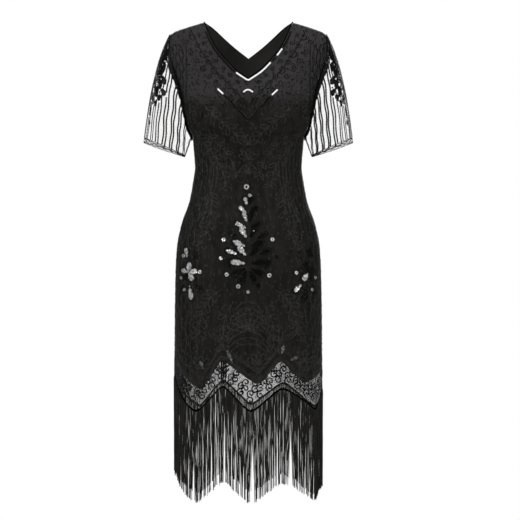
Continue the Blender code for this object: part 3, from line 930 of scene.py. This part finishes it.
def scatter(name, shape, centres, frames, cloth, slot, *nodes):
    """One piece of copies of a small shape, each turned by its own frame and put on its place."""
    points, faces = shape
    placed = centres[:, None] + np.einsum("nij,pj->npi", frames, points)
    index = faces + len(points) * np.arange(len(centres))[:, None, None]
    return place(surface(name, placed, index.reshape(-1, 3), FINISH[cloth]), slot, *nodes)


def beads_on_net(turn, z, rise, chance, tilt):
    """Centres a rise off the net's outer face, and frames turned and leant by chance."""
    return worn(turn, z, NET_WALL / 2 + rise), turned_frames(worn_frames(turn, z), chance, tilt)


def turned_frames(frames, chance, tilt):
    """Frames with a chance turn about their own outward axis and a chance lean off it."""
    count = len(frames)
    spin, lean = chance.uniform(0, math.tau, count), chance.normal(0, tilt, (count, 2))
    first, second, out = np.moveaxis(frames, -1, 0)
    out = unit(out + lean[:, :1] * first + lean[:, 1:] * second)
    across = np.cos(spin)[:, None] * first + np.sin(spin)[:, None] * second
    return frames_from(square_to(across, out), out)


# ---- beadwork of the panels

# x and z of lines
FRONT_BAND = table(FINE, (0, -2430), (524, -1866), (1185, -1200), (1370, -820), (1500, -600))
BACK_BAND = table(PARTS, (0, -200), (55, -160), (112, -112), (156, -55))
YOKE_STEM = table(
    PARTS, (139, -18), (124, -50), (113, -72), (99, -93), (86, -112), (71, -130), (55, -147),
    (38, -165), (21, -182), (4, -203),
)
WAIST_LINE = table(PARTS, (97, -300), (89, -350), (99, -420), (116, -480))
STRAP_LINE = table(FINE, (1470, -580), (1462, -1100), (1458, -1650), (1480, -2150))
BARB = table(PARTS, (0, 0), (18, -4), (36, -16), (50, -36))
# x, z, radius, first angle, hand; the back lifts them towards its own neckline
YOKE_SCROLLS = table(
    (PARTS, PARTS, FINE, 1, 1),
    (131, -40, 100, 200, 1), (119, -62, 70, 20, -1), (106, -82, 110, 210, 1),
    (93, -102, 72, 30, -1), (79, -121, 108, 215, 1), (63, -138, 72, 40, -1),
    (46, -157, 106, 220, 1), (29, -172, 70, 50, -1), (13, -195, 82, 230, 1),
    (147, -52, 76, 20, -1), (136, -76, 86, 190, 1), (121, -98, 80, 30, -1),
    (107, -117, 86, 200, 1), (91, -136, 80, 35, -1), (75, -153, 86, 205, 1),
    (58, -169, 76, 40, -1), (40, -187, 82, 210, 1), (19, -213, 68, 50, -1),
    (116, -34, 56, 200, 1), (103, -56, 60, 30, -1), (88, -80, 56, 205, 1),
    (75, -99, 60, 35, -1), (58, -117, 54, 210, 1), (41, -134, 56, 40, -1),
    (24, -150, 52, 215, 1),
)
YOKE_LIFT, YOKE_WIDTH, NECK_LINES, NECK_SHARE = 0.05, 0.131, (0.003, 0.0078), 0.985
# x and z of the stem in ten-thousandths, pairs of leaves, length, width, spread
GARLANDS = (
    (((1500, -980), (1425, -1400), (1390, -1900), (1370, -2450)), 6, 0.018, 0.0085, 42),
    (((1280, -1500), (1120, -1920), (860, -2260), (540, -2520), (220, -2820)), 7, 0.021, 0.009, 40),
    (((1270, -2620), (1060, -2920), (820, -3220), (620, -3560), (520, -3980)), 7, 0.02, 0.0085, 40),
    (((1000, -2700), (780, -2900), (540, -3140), (360, -3420), (260, -3720)), 5, 0.017, 0.0075, 40),
    (((900, -3950), (860, -4400), (940, -4900), (1120, -5350)), 6, 0.021, 0.009, 42),
    (((640, -6400), (920, -6620), (1100, -7000), (1140, -7450)), 6, 0.023, 0.01, 42),
    (((340, -6680), (520, -7000), (600, -7400), (600, -7750)), 5, 0.022, 0.0095, 42),
)
# x, z, length, width, reach of the leaves, leaves
FANS = (
    (0.0, -0.3, 0.024, 0.0085, 64, 5), (0.0, -0.334, 0.024, 0.0085, 64, 5),
    (0.0, -0.366, 0.022, 0.008, 60, 5), (0.0, -0.735, 0.05, 0.015, 76, 7),
)
BODICE_GARLANDS, BODICE_FANS = 5, 3
# Fans on the slip's points: height of the foot above it, leaves, height and radius of a ring.
LOW_FAN, HIGH_FAN, LOW_Z = (0.046, 5, 0.022, 0.0062), (0.05, 3, 0.042, 0.004), -0.84
HEM_LEAF, HEM_FAN_REACH = (0.03, 0.0095), 66
BAND_LINES, WAIST_LINES, WAIST_STEP = (0.0022, -0.0022), 3, 0.0085
STRAP_ROWS, STRAP_STEP, STRAP_WAVE, STRAP_PERIOD = 5, 0.0078, 0.0019, 0.0052
OUTLINE_PAST = (0.004, 0.0046)
BARBS, BARB_X, BARB_TOP, BARB_STEP = 8, 0.002, -0.668, 0.014
CHEVRONS = (0.005, 0.011, 0.029, 0.0345)
HEM_SCROLL_ROWS, HEM_SCROLL_END = ((0.0265, 1), (0.047, -1)), 0.244
HEM_SCROLL_STEP, HEM_SCROLL_RADIUS = 0.0226, 0.01
PLEAT_LINES, PLEAT_TURN, PLEAT_STEP, PLEAT_REACH = 3, -0.0665, 0.005, (-0.806, -0.86)
CLOSE_RIBS, CLOSE_REACH = np.arange(-0.244, -0.156, 0.0052), (-0.8, -0.92)
CLOSE_WAVE, CLOSE_PERIOD = 0.0015, 0.006
RIBS, RIB_WAVE, RIB_PERIOD = np.linspace(0.128, 0.238, 7), 0.0026, 0.055
RIB_REACH, RIB_POINTS = (-0.292, -0.93), 240
DASH = np.array([(0.0022, 0.0), (0.0075, 0.007)])
# Sown dashes: steps across in turns and up, lowest height, shortest and longest, spread of lean.
SOWN_ENDS = (-0.245, 0.246)
BODY_SOWN = ((0.0165, 0.015), -0.925, (0.005, 0.009), 0.35)
YOKE_SOWN = ((0.0125, 0.0115), -0.205, (0.0028, 0.0078), 1.6)


def on_turns(drawn):
    """A line drawn in x and z, given in turns and z."""
    return line(turn_at(drawn[:, 0], drawn[:, 1]), drawn[:, 1])


def beside(drawn, off):
    """A line moved square to itself by the distance."""
    way = unit(np.gradient(drawn, axis=0))
    return drawn + off * line(-way[:, 1], way[:, 0])


def band_line(points):
    """The pointed line below the neckline: the same smooth line on both sides of its point."""
    half = through(points)
    return join([half[:0:-1] * [-1, 1], half])


def neck_line(neck, off):
    """A line inside the neckline, from one high shoulder point to the other."""
    x = np.linspace(-neck[-1, 0] * NECK_SHARE, neck[-1, 0] * NECK_SHARE, 161)
    return beside(line(x, edge_height(x, neck)), -off)


def bodice_lines(back):
    """Lines above the hips, drawn in x and z."""
    neck, band = (BACK_NECK, BACK_BAND) if back else (FRONT_NECK, FRONT_BAND)
    lines = [neck_line(neck, off) for off in NECK_LINES]
    lines += [beside(band_line(band), off) for off in BAND_LINES]
    half = []
    for row in GARLANDS[:BODICE_GARLANDS]:
        half += garland(*row)
    half += [beside(through(WAIST_LINE), -k * WAIST_STEP) for k in range(WAIST_LINES)]
    lines += mirrored(half)
    for row in FANS[:BODICE_FANS]:
        lines += fan(*row)
    return lines


def scroll_lines(back):
    """Close black lines, drawn in x and z: the yoke's scrolls with their stem, wavy rows beside
    each armhole, and the outlines of the sprays' petals."""
    lift = YOKE_LIFT if back else 0.0
    half = []
    for x, z, *rest in YOKE_SCROLLS:
        half.append(scroll(x, z + lift * (1 - x / YOKE_WIDTH), *rest))
    x, z = YOKE_STEM.T
    half.append(through(line(x, z + lift * (1 - x / YOKE_WIDTH))))
    row = through(STRAP_LINE)
    for k in range(STRAP_ROWS):
        aside = k * STRAP_STEP + STRAP_WAVE * np.sin(row[:, 1] / STRAP_PERIOD + 2.1 * k) * min(k, 1)
        half.append(row + line(aside, 0 * aside))
    petals = FRONT_PETALS[:MIDDLE_PETALS] if back else FRONT_PETALS
    past, wider = OUTLINE_PAST
    return mirrored(half) + [
        leaf(x, z, length + past, width + wider, lean) for x, z, length, width, lean, _ in petals
    ]


def skirt_lines():
    """Lines from the hips down, drawn in x and z."""
    half = []
    for row in GARLANDS[BODICE_GARLANDS:]:
        half += garland(*row)
    for k in range(BARBS):
        size = 0.55 + 0.45 * min(k, 4) / 4
        half.append(through(BARB * size) + [BARB_X, BARB_TOP - k * BARB_STEP])
    lines = mirrored(half) + fan(*FANS[BODICE_FANS])
    for turn, z, _ in SLIP_HEM[1:-1]:
        x = float(body(turn, z)[0])
        foot, leaves, up, radius = LOW_FAN if z < LOW_Z else HIGH_FAN
        lines += fan(x, z + foot, *HEM_LEAF, HEM_FAN_REACH, leaves)
        lines.append(about(x, z + up, radius, np.linspace(0, math.tau, 33)))
    return lines


def side_lines():
    """Wavy ribs beside the side seams, with short dashes off them, given in turns and z."""
    lines = []
    z = np.linspace(*RIB_REACH, RIB_POINTS)
    for k, rib in enumerate(RIBS):
        off = RIB_WAVE * np.sin(math.tau * z / RIB_PERIOD + 1.9 * k)
        for side in (-1, 1):
            turn = side * (rib + off / ROUND)
            lines.append(line(turn, z))
            for at in range(6 + 5 * (k % 2), RIB_POINTS, 10):
                lines.append(DASH * [side / ROUND, 1] + [turn[at], z[at]])
    return lines


def sown_dashes(seed, step, lowest, reach, leaning):
    """Short dashes of beads sown about even places above a height, each leant off upright by
    chance, given in turns and z."""
    chance = np.random.default_rng(seed)
    across, up = np.meshgrid(np.arange(*SOWN_ENDS, step[0]), np.arange(lowest, 0.0, step[1]))
    foot, count = line(across.ravel(), up.ravel()), across.size
    foot = foot + chance.uniform(-0.5, 0.5, (count, 2)) * step
    lean, length = chance.normal(0, leaning, count), chance.uniform(*reach, count)
    way = line(np.sin(lean) / ROUND, np.cos(lean)) * length[:, None]
    return list(np.stack([foot, foot + way], axis=1))


def hem_lines():
    """Two rows of scrolls above the net's hem, a pleat's close upright lines and the ribs of
    its side, given in turns and z."""
    lines = []
    for up, hand in HEM_SCROLL_ROWS:
        for k in range(int(2 * HEM_SCROLL_END * ROUND / HEM_SCROLL_STEP)):
            at = -HEM_SCROLL_END + (k + (0.5 if hand > 0 else 1.0)) * HEM_SCROLL_STEP / ROUND
            way = hand * (1 if k % 2 else -1)
            curl = scroll(0, 0, HEM_SCROLL_RADIUS, 90 * way - 20, way)
            lines.append(curl * [1 / ROUND, 1] + [at, float(hem(at, NET_HEM)) + up])
    z = np.linspace(*PLEAT_REACH, 40)
    lines += [line(PLEAT_TURN + k * PLEAT_STEP / ROUND, z) for k in range(PLEAT_LINES)]
    z = np.linspace(*CLOSE_REACH, 60)
    for k, rib in enumerate(CLOSE_RIBS):
        low = z < hem(rib, SLIP_HEM) - 0.001 * (k % 3)
        lines.append(line(rib + CLOSE_WAVE * np.sin(z / CLOSE_PERIOD + 2.1 * k), z)[low])
    return lines


def panel_beads(side, back, taken, seed):
    """Beads along all the lines of a panel, clear of its edges and sequins: seed beads, larger
    ones on the scrolls, and the largest near its hem."""
    chance = np.random.default_rng(seed)
    pieces = []
    body_set = [on_turns(drawn) for drawn in bodice_lines(back) + skirt_lines()]
    turn = np.linspace(-0.247, 0.247, 900)
    body_set += side_lines() + [line(turn, hem(turn, SLIP_HEM) + up) for up in CHEVRONS]
    body_set += sown_dashes(seed, *BODY_SOWN)
    scroll_set = [on_turns(drawn) for drawn in scroll_lines(back)]
    scroll_set += sown_dashes(seed + 50, *YOKE_SOWN)
    sets = (
        # The body's seed beads take the finish with painted glints.
        ("seed", BEAD, BEAD_STEP, 0.0021, "seed", body_set),
        ("scroll", LARGE_BEAD, SCROLL_STEP, 0.0018, "bead", scroll_set),
        ("hem", HEM_BEAD, HEM_BEAD_STEP, 0.0022, "bead", hem_lines()),
    )
    for name, shape, step, cell, cloth, lines in sets:
        places = join([spaced(drawn, step, body) for drawn in lines])
        turn, z = places.T
        fits = z < top_edge(turn, BACK_NECK if back else FRONT_NECK) - EDGE_ROOM
        fits &= (z > hem(turn, NET_HEM) + HEM_ROOM) & (np.abs(turn) < 0.25 - SIDE_ROOM / ROUND)
        flat = places[fits] * [ROUND, 1]
        flat = clear_of(flat[first_in_cells(flat, cell)], taken * [ROUND, 1], SEQUIN_ROOM)
        turn, z = flat[:, 0] / ROUND, flat[:, 1]
        turn = 0.5 - turn if back else turn
        placed = beads_on_net(turn, z, BEAD_HEIGHT * 0.7, chance, BEAD_TILT)
        pieces.append(scatter(f"{side}_{name}_beads", shape, *placed, cloth, "net"))
    return pieces


PETAL_UNITS = (FINE, FINE, FINE, FINE, 1, 1)


def paired(*rows):
    """Each petal on the wearer's right with its twin on the left, whose finish is given last."""
    rows = table((*PETAL_UNITS, 1), *rows)
    twins = rows[:, :6] * [-1, 1, 1, 1, -1, 1], rows[:, [0, 1, 2, 3, 4, 6]]
    return np.stack(twins, axis=1).reshape(-1, 6)


# Petals of sequins in pairs: x and z of the foot, length, width, lean in degrees, then the finish
# on the wearer's right and on the left: 0 black, 1 bright, which is a painted reflection of
# the lamps on black sequins, 2 gunmetal.
MIDDLE = paired(
    (30, -4400, 190, 85, 16, 1, 0), (40, -4600, 220, 90, 48, 1, 0),
    (30, -4800, 250, 100, 20, 1, 0), (60, -4950, 270, 100, 62, 1, 0),
    (40, -5180, 280, 110, 30, 1, 0), (220, -5200, 240, 95, 58, 0, 0),
    (70, -5380, 310, 115, 66, 1, 0), (50, -5600, 300, 120, 40, 1, 0),
    (270, -5560, 260, 100, 70, 1, 0), (70, -5780, 340, 130, 84, 1, 0),
    (60, -5900, 320, 130, 118, 0, 0), (40, -5960, 300, 125, 152, 0, 0),
    (400, -5920, 240, 85, 20, 0, 0),
)
MIDDLE_PETALS = len(MIDDLE)
HIPS = paired(
    (1400, -5980, 220, 135, -8, 1, 0), (1390, -6000, 200, 130, -76, 1, 0),
    (1400, -6010, 210, 130, -146, 1, 1), (1410, -6010, 170, 110, -214, 0, 0),
    (1410, -5990, 170, 110, -290, 1, 0), (1430, -5640, 220, 85, 10, 1, 0),
    (1300, -5700, 200, 80, -34, 0, 0), (1370, -6300, 340, 110, -172, 1, 0),
    (1240, -6270, 240, 90, -138, 0, 1), (1500, -6280, 200, 80, 158, 0, 0),
)
FRONT_PETALS = join([MIDDLE, HIPS])
BACK_PETALS = MIDDLE * [1, 1, 1, 1, 1, 0]
HEM_PETALS = table(
    PETAL_UNITS, (-360, -8120, 340, 85, -24, 2), (800, -7900, 200, 80, 12, 2),
    (1000, -8060, 180, 75, 60, 2), (-1040, -8260, 220, 80, -20, 2),
)
# Rounds of sequins: x, z, radius of the round, 1 where it is bright, a painted reflection on black
# sequins.
ROUND_UNITS = (PARTS, PARTS, FINE, 1)
FRONT_ROUNDS = table(
    ROUND_UNITS, (-4, -398, 44, 1), (4, -418, 24, 1), (-57, -522, 30, 1), (57, -522, 30, 1),
    (-64, -566, 26, 1), (66, -563, 30, 0), (-50, -604, 32, 1), (50, -606, 34, 1),
    (-23, -632, 34, 1), (24, -630, 30, 0), (12, -500, 16, 1), (0, -645, 22, 1),
    (-152, -560, 28, 1), (-158, -612, 24, 1), (-150, -640, 24, 1), (152, -560, 28, 0),
    (158, -612, 24, 1), (150, -640, 24, 1), (113, -600, 26, 1), (-113, -598, 30, 1),
)
BACK_ROUNDS = table(
    ROUND_UNITS, (4, -398, 44, 0), (-57, -522, 30, 0), (57, -522, 30, 0), (-50, -604, 32, 0),
    (50, -606, 32, 0), (0, -645, 22, 0),
)
SEQUIN_PITCH, SEQUIN_CELL, SEQUIN_TILT = 0.0031, 0.0019, 0.1
SEQUIN_OUT, SEQUIN_LAP = 0.0013, 0.0005
# The second finish is the painted reflection: sequins made bright where black ones catch the lamps.
SEQUIN_NAMES = ("black_sequin", "bright_sequin", "gunmetal_sequin")


def sequin_places(petals, rounds):
    """Places of the sequins in x and z with the finish of each, row by row of the tables."""
    places = [(leaf_filling(*row[:5]), row[5]) for row in petals]
    for x, z, radius, cloth in rounds:
        count = max(round(math.tau * radius / SEQUIN_PITCH), 1)
        angle = np.arange(count) * math.tau / count + 1
        places.append((about(x, z, radius if count > 2 else 0, angle), cloth))
    cloths = [np.full(len(points), cloth) for points, cloth in places]
    return join([points for points, _ in places]), join(cloths)


def panel_sequins(side, back, petals, rounds, seed):
    """Sequins of a panel, one piece for each finish; returns the pieces and the sequins' places."""
    chance = np.random.default_rng(seed)
    flat, cloths = sequin_places(petals, rounds)
    first = first_in_cells(flat, SEQUIN_CELL)
    places, cloths = on_turns(flat[first]), cloths[first]
    turn, z = places.T
    turn = 0.5 - turn if back else turn
    rise = SEQUIN_OUT + chance.uniform(0, SEQUIN_LAP, len(turn))
    centres, frames = beads_on_net(turn, z, rise, chance, SEQUIN_TILT)
    pieces = []
    for k, name in enumerate(SEQUIN_NAMES):
        own = cloths == k
        if own.any():
            placed = centres[own], frames[own]
            pieces.append(scatter(f"{side}_{name}s", SEQUIN, *placed, name, "net"))
    return pieces, places


# Stretches of silver bugles: first and last x on the inner neck line and on the band.
SILVER_ON_NECK = ((-0.028, 0.053), (0.068, 0.08))
SILVER_ON_BAND = ((-0.071, -0.0585), (0.056, 0.069))
NECK_BUGLES_IN, NECK_END, BAND_GAP, SILVER_GAP = 0.0054, 0.006, 0.001, 0.003
ARCH_Z, ARCH_RADIUS, ARCH_FLAT, ARCH_ENDS = -0.1785, 0.0105, 0.8, (168, 12)


def stretch(drawn, low, high):
    """The part of a line between two of its values of x."""
    x = np.linspace(low, high, 60)
    return line(x, np.interp(x, drawn[:, 0], drawn[:, 1]))


def laid_bars(drawn):
    """Places and frames of bugles end to end along a line in x and z on the front."""
    turn, z = spaced(on_turns(drawn), BUGLE_LENGTH + BUGLE_GAP, body).T
    centres, frames = worn(turn, z, NET_WALL / 2 + BUGLE_RADIUS), worn_frames(turn, z)
    if len(centres) > 1:
        way = unit(np.gradient(centres, axis=0))
    else:
        slope = unit(drawn[-1] - drawn[0])
        way = slope[0] * frames[..., 0] + slope[1] * frames[..., 1]
    return centres, frames_from(way, square_to(frames[..., 2], way))


def make_bugles():
    """Bugles along the neck of the front: silver in set stretches and black between them."""
    neck, band = neck_line(FRONT_NECK, NECK_BUGLES_IN), band_line(FRONT_BAND)
    angle = np.linspace(*np.radians(ARCH_ENDS), 40)
    arch = line(ARCH_RADIUS * np.cos(angle), ARCH_Z + ARCH_RADIUS * ARCH_FLAT * np.sin(angle))
    silver = [arch] + [stretch(neck, *ends) for ends in SILVER_ON_NECK]
    silver += [stretch(band, *ends) for ends in SILVER_ON_BAND]
    black = [
        stretch(band, SILVER_ON_BAND[0][1] + SILVER_GAP, -BAND_GAP),
        stretch(band, BAND_GAP, SILVER_ON_BAND[1][0] - SILVER_GAP),
    ]
    edges = [neck[0, 0] + NECK_END, *sum(SILVER_ON_NECK, ()), neck[-1, 0] - NECK_END]
    for low, high in zip(edges[::2], edges[1::2]):
        black.append(stretch(neck, low + SILVER_GAP, high - SILVER_GAP))
    pieces = []
    for name, cloth, lines in (("silver", "silver", silver), ("black", "bead", black)):
        placed = (join(part) for part in zip(*map(laid_bars, lines)))
        pieces.append(scatter(f"{name}_bugles", BUGLE, *placed, cloth, "net"))
    return pieces


# ---- beadwork of the sleeves

SLEEVE_LINES, OUTER_LINES, LINE_WAVE, LINE_PERIODS = (17, 19), (-0.018, 0.018), 0.0034, 3.1
LINE_DOWN, LINE_LEAN, ARMHOLE_ROWS = (0.05, 0.962), 0.075, (0.006, 0.02, 0.034)
ARMHOLE_SCALLOPS, SCALLOP_DOWN, SCALLOP_DEPTH = 27, 0.078, 0.03
CUFF_BORDER, CUFF_WAVES, CUFF_WAVE = (0.966, 0.995), 17, 0.0105
CUFF_STEP, SLEEVE_BEAD_RISE, SLEEVE_ROOM = 0.0029, 0.0008, 0.0021
# share round and share down of the foot, length, width, lean from straight up the sleeve
SLEEVE_PETALS = table(
    (PARTS, 100, PARTS, FINE, 1),
    (10, 0, 36, 200, 178), (60, 1, 34, 190, 184), (100, 5, 30, 160, 190), (30, 10, 40, 217, 170),
    (85, 12, 38, 210, 190), (135, 16, 32, 170, 196), (20, 20, 40, 210, 164),
    (70, 22, 41, 217, 184), (125, 25, 38, 200, 194), (175, 27, 30, 160, 204),
    (35, 32, 40, 200, 168), (95, 34, 40, 200, 186), (150, 36, 36, 190, 198),
    (195, 39, 26, 140, 206), (20, 44, 34, 160, 166), (70, 45, 38, 190, 182),
    (125, 47, 36, 180, 194), (170, 50, 26, 130, 204), (45, 57, 32, 140, 172),
    (95, 58, 34, 150, 188), (135, 60, 24, 110, 198), (70, 69, 32, 120, 180),
    (85, 80, 22, 80, 184), (-30, 4, 39, 203, 186), (-35, 16, 39, 196, 190),
    (-30, 30, 36, 174, 192), (-25, 44, 32, 150, 188), (-80, 10, 34, 174, 168),
    (-80, 24, 30, 159, 170),
)
SLEEVE_STEM = table(PARTS, (0, 20), (30, 140), (20, 280), (40, 400), (26, 560), (34, 660))


def on_sleeve(left, lines, step):
    """Places an even step apart along lines drawn in shares round and down the sleeve."""
    def cloth(share, down):
        return sleeve(left, share, down)
    return join([spaced(drawn, step, cloth) for drawn in lines])


def make_sleeve_beads(left):
    """Wavy lines of beads down the sleeve and a spray of black sequins on its outer top."""
    chance = np.random.default_rng(31 if left else 32)
    lines = []
    down = np.linspace(*LINE_DOWN, 160)
    count = SLEEVE_LINES[left]
    for k in range(count // 2 + 1):
        wave = LINE_WAVE * np.sin(math.tau * (LINE_PERIODS * down + chance.uniform()))
        share = k / count
        share = share + wave - LINE_LEAN * math.sin(math.tau * share) * (1 - down) ** 1.5
        lines.append(line(share, down))
        if 0 < k < count / 2:
            lines.append(line(-share, down))
    lines += [line(share, down) for share in OUTER_LINES]
    lines.append(through(SLEEVE_STEM))
    share = np.linspace(0, 1, 361)
    lines += [line(share, row) for row in ARMHOLE_ROWS]
    scallop = SCALLOP_DEPTH * np.sin(math.pi * ARMHOLE_SCALLOPS * share)
    lines += [line(share, SCALLOP_DOWN + sign * scallop) for sign in (-1, 1)]
    beads = on_sleeve(left, lines, LARGE_STEP)
    sequins = []
    for share, at, *shape in SLEEVE_PETALS:
        petal = leaf_filling(0, 0, *shape) / SLEEVE_REACH
        sequins.append(petal * [1, -1] + [share, at])
    sequins = join(sequins) * SLEEVE_REACH
    sequins = sequins[first_in_cells(sequins, SEQUIN_CELL)] / SLEEVE_REACH
    beads = clear_of(beads * SLEEVE_REACH, sequins * SLEEVE_REACH, SLEEVE_ROOM) / SLEEVE_REACH
    centres = sleeve(left, *beads.T, NET_WALL / 2 + SLEEVE_BEAD_RISE)
    frames, name = sleeve_frames(left, *beads.T), f"sleeve_{SIDE[left]}"
    pieces = [scatter(f"{name}_beads", SLEEVE_BEAD, centres, frames, "bead", "net")]
    frames = turned_frames(sleeve_frames(left, *sequins.T), chance, SEQUIN_TILT)
    centres = sleeve(left, *sequins.T, NET_WALL / 2 + SEQUIN_OUT)
    return pieces + [scatter(f"{name}_sequins", SEQUIN, centres, frames, "black_sequin", "net")]


def make_cuff(left):
    """Two straight rows of beads round the sleeve's end and two that cross between as sines."""
    share = np.linspace(0, 1, 721)
    lines = [line(share, down) for down in CUFF_BORDER]
    for sign in (-1, 1):
        wave = sign * CUFF_WAVE * np.sin(math.pi * CUFF_WAVES * share)
        lines.append(line(share, sum(CUFF_BORDER) / 2 + wave))
    places = on_sleeve(left, lines, CUFF_STEP).T
    centres = sleeve(left, *places, NET_WALL / 2 + SLEEVE_BEAD_RISE)
    name, placed = SIDE[left], (centres, sleeve_frames(left, *places))
    node = f"cuff_band_{name}"
    return scatter(f"cuff_{name}_beads", BEAD, *placed, "bead", "bead_trim", node)


# ---- bindings and seams

BINDING_RADIUS, BINDING_SLOPE, SEAM_RADIUS, SEAM_IN = 0.0016, 0.002, 0.0009, 0.0006
SEAM_BELOW, SEAM_ABOVE, ACROSS, DEEP = 0.004, 0.008, np.array([1.0, 0, 0]), np.array([0, 1.0, 0])


def make_bindings():
    """Rolled bindings along both necklines and fine corded seams at the sides and armholes."""
    pieces = []
    middle = COLUMNS // 2
    for side, (centre, neck, _) in PANELS.items():
        turn = edge_turns(centre, neck, NET_NECK_COLUMNS)
        along = np.linspace(middle - NET_NECK_COLUMNS, middle + NET_NECK_COLUMNS, 193)
        turn = np.interp(along, np.arange(COLUMNS + 1), turn)
        z = top_edge(turn, neck)
        out = worn_frames(turn, z - BINDING_SLOPE)[..., 2]
        pieces.append(tube(f"neck_binding_{side}", worn(turn, z), out, BINDING_RADIUS, 8))
    for left, side in SIDE.items():
        sign = 1 if left else -1
        path = RINGS[left][1][:-1] - [SEAM_IN * sign, 0, 0]
        pieces.append(tube(f"armhole_seam_{side}", path, ACROSS, SEAM_RADIUS, 6, closed=True))
        ends = UNDERARM_Z - SEAM_BELOW, float(hem(sign * 0.25, NET_HEM)) + SEAM_ABOVE
        path = worn(np.full(200, sign * 0.25), np.linspace(*ends, 200))
        pieces.append(tube(f"side_seam_{side}", path, DEEP, SEAM_RADIUS, 6))
    return [place(piece, "net") for piece in pieces]


# ---- stage, light and camera

FLOOR_Z, FLOOR_RADIUS, FLOOR_SIDES = -1.45, 1.9, 96
CAMERA_FROM, CAMERA_AT = (0.028, -5.0, -0.57), 5.0
FRAME_WIDTH, SENSOR, CAMERA_END = 1.248, 36.0, 50
WHITE, PALE_SKY, SKY_STRENGTH = (1, 1, 1, 1), (0.98, 0.98, 1.0, 1), 0.42
LAMPS_AT = np.array([0, 0, -0.55])
# name, place, size, power
LAMPS = (
    ("soft_key", (-2.2, -2.6, 0.9), 1.6, 95), ("soft_fill", (2.6, -2.4, 0.2), 1.8, 55),
    ("soft_back", (0.6, 2.8, 0.8), 1.8, 70), ("soft_top", (0.0, -0.9, 2.6), 1.2, 60),
)


def hold(name, data, at, turned):
    holder = bpy.data.objects.new(name, data)
    bpy.context.scene.collection.objects.link(holder)
    holder.location, holder.rotation_euler = at, turned
    return holder


def make_stage():
    """A round pale floor below the hanging dress, a white surround and soft lamps."""
    k = np.arange(FLOOR_SIDES)
    angle = k * math.tau / FLOOR_SIDES
    rim = circle(angle) * FLOOR_RADIUS + [0, 0, FLOOR_Z]
    points = join([[[0, 0, FLOOR_Z]], rim * [0.5, 0.5, 1], rim])
    after, outer = (k + 1) % FLOOR_SIDES, FLOOR_SIDES + 1
    faces = np.stack([1 + k, outer + k, outer + after, 1 + after], axis=-1)
    centre = np.stack([0 * k[::2], 1 + k[::2], 1 + after[::2], 1 + after[1::2]], axis=-1)
    pale = finish("pale_floor", 7400, 8000, (0.6, 0.75), 3)
    surface("floor", points, join([faces, centre]), pale)

    world = bpy.data.worlds.new("studio")
    bpy.context.scene.world = world
    world.use_nodes = True
    tree = world.node_tree
    tree.nodes.clear()
    seen = add(tree, "Background", {"Color": WHITE, "Strength": 1.0}).outputs[0]
    fill = add(tree, "Background", {"Color": PALE_SKY, "Strength": SKY_STRENGTH}).outputs[0]
    straight = add(tree, "LightPath").outputs["Is Camera Ray"]
    mix = add(tree, "MixShader", {"Fac": straight, 1: fill, 2: seen})
    add(tree, "OutputWorld", {"Surface": mix.outputs[0]})

    for name, at, size, power in LAMPS:
        lamp = bpy.data.lights.new(name, "AREA")
        lamp.shape, lamp.size, lamp.energy = "DISK", size, power
        x, y, z = LAMPS_AT - at
        hold(name, lamp, at, (math.atan2(math.hypot(x, y), -z), 0, math.atan2(y, x) - math.pi / 2))


def make_camera():
    lens = bpy.data.cameras.new("front_view")
    lens.sensor_width, lens.lens = SENSOR, SENSOR * CAMERA_AT / FRAME_WIDTH
    lens.clip_end = CAMERA_END
    bpy.context.scene.camera = hold("front_view", lens, CAMERA_FROM, (math.pi / 2, 0, 0))
    bpy.context.scene.view_settings.view_transform = "Standard"


# ---- the whole dress

FRINGES = (("front", 0.0, 11), ("back", 0.5, 12))


def make_dress():
    """All the pieces of the dress."""
    panels = make_panels()
    fringes = {side: [make_fringe(side, centre, seed), make_braid(side, centre)]
               for side, centre, seed in FRINGES}
    trims = {"front": make_bugles(), "back": []}
    front_petals = join([FRONT_PETALS, HEM_PETALS])
    for side, back, petals, rounds, seed in (
        ("front", False, front_petals, FRONT_ROUNDS, 21),
        ("back", True, BACK_PETALS, BACK_ROUNDS, 22),
    ):
        sequins, taken = panel_sequins(side, back, petals, rounds, seed)
        trims[side] += sequins + panel_beads(side, back, taken, seed + 20)
    for piece in make_bindings():
        trims["back" if "back" in piece.name else "front"].append(piece)
    for left in (True, False):
        piece = make_sleeve(left)
        trim = make_sleeve_beads(left) + [make_cuff(left)]


make_stage()
make_camera()
make_dress()
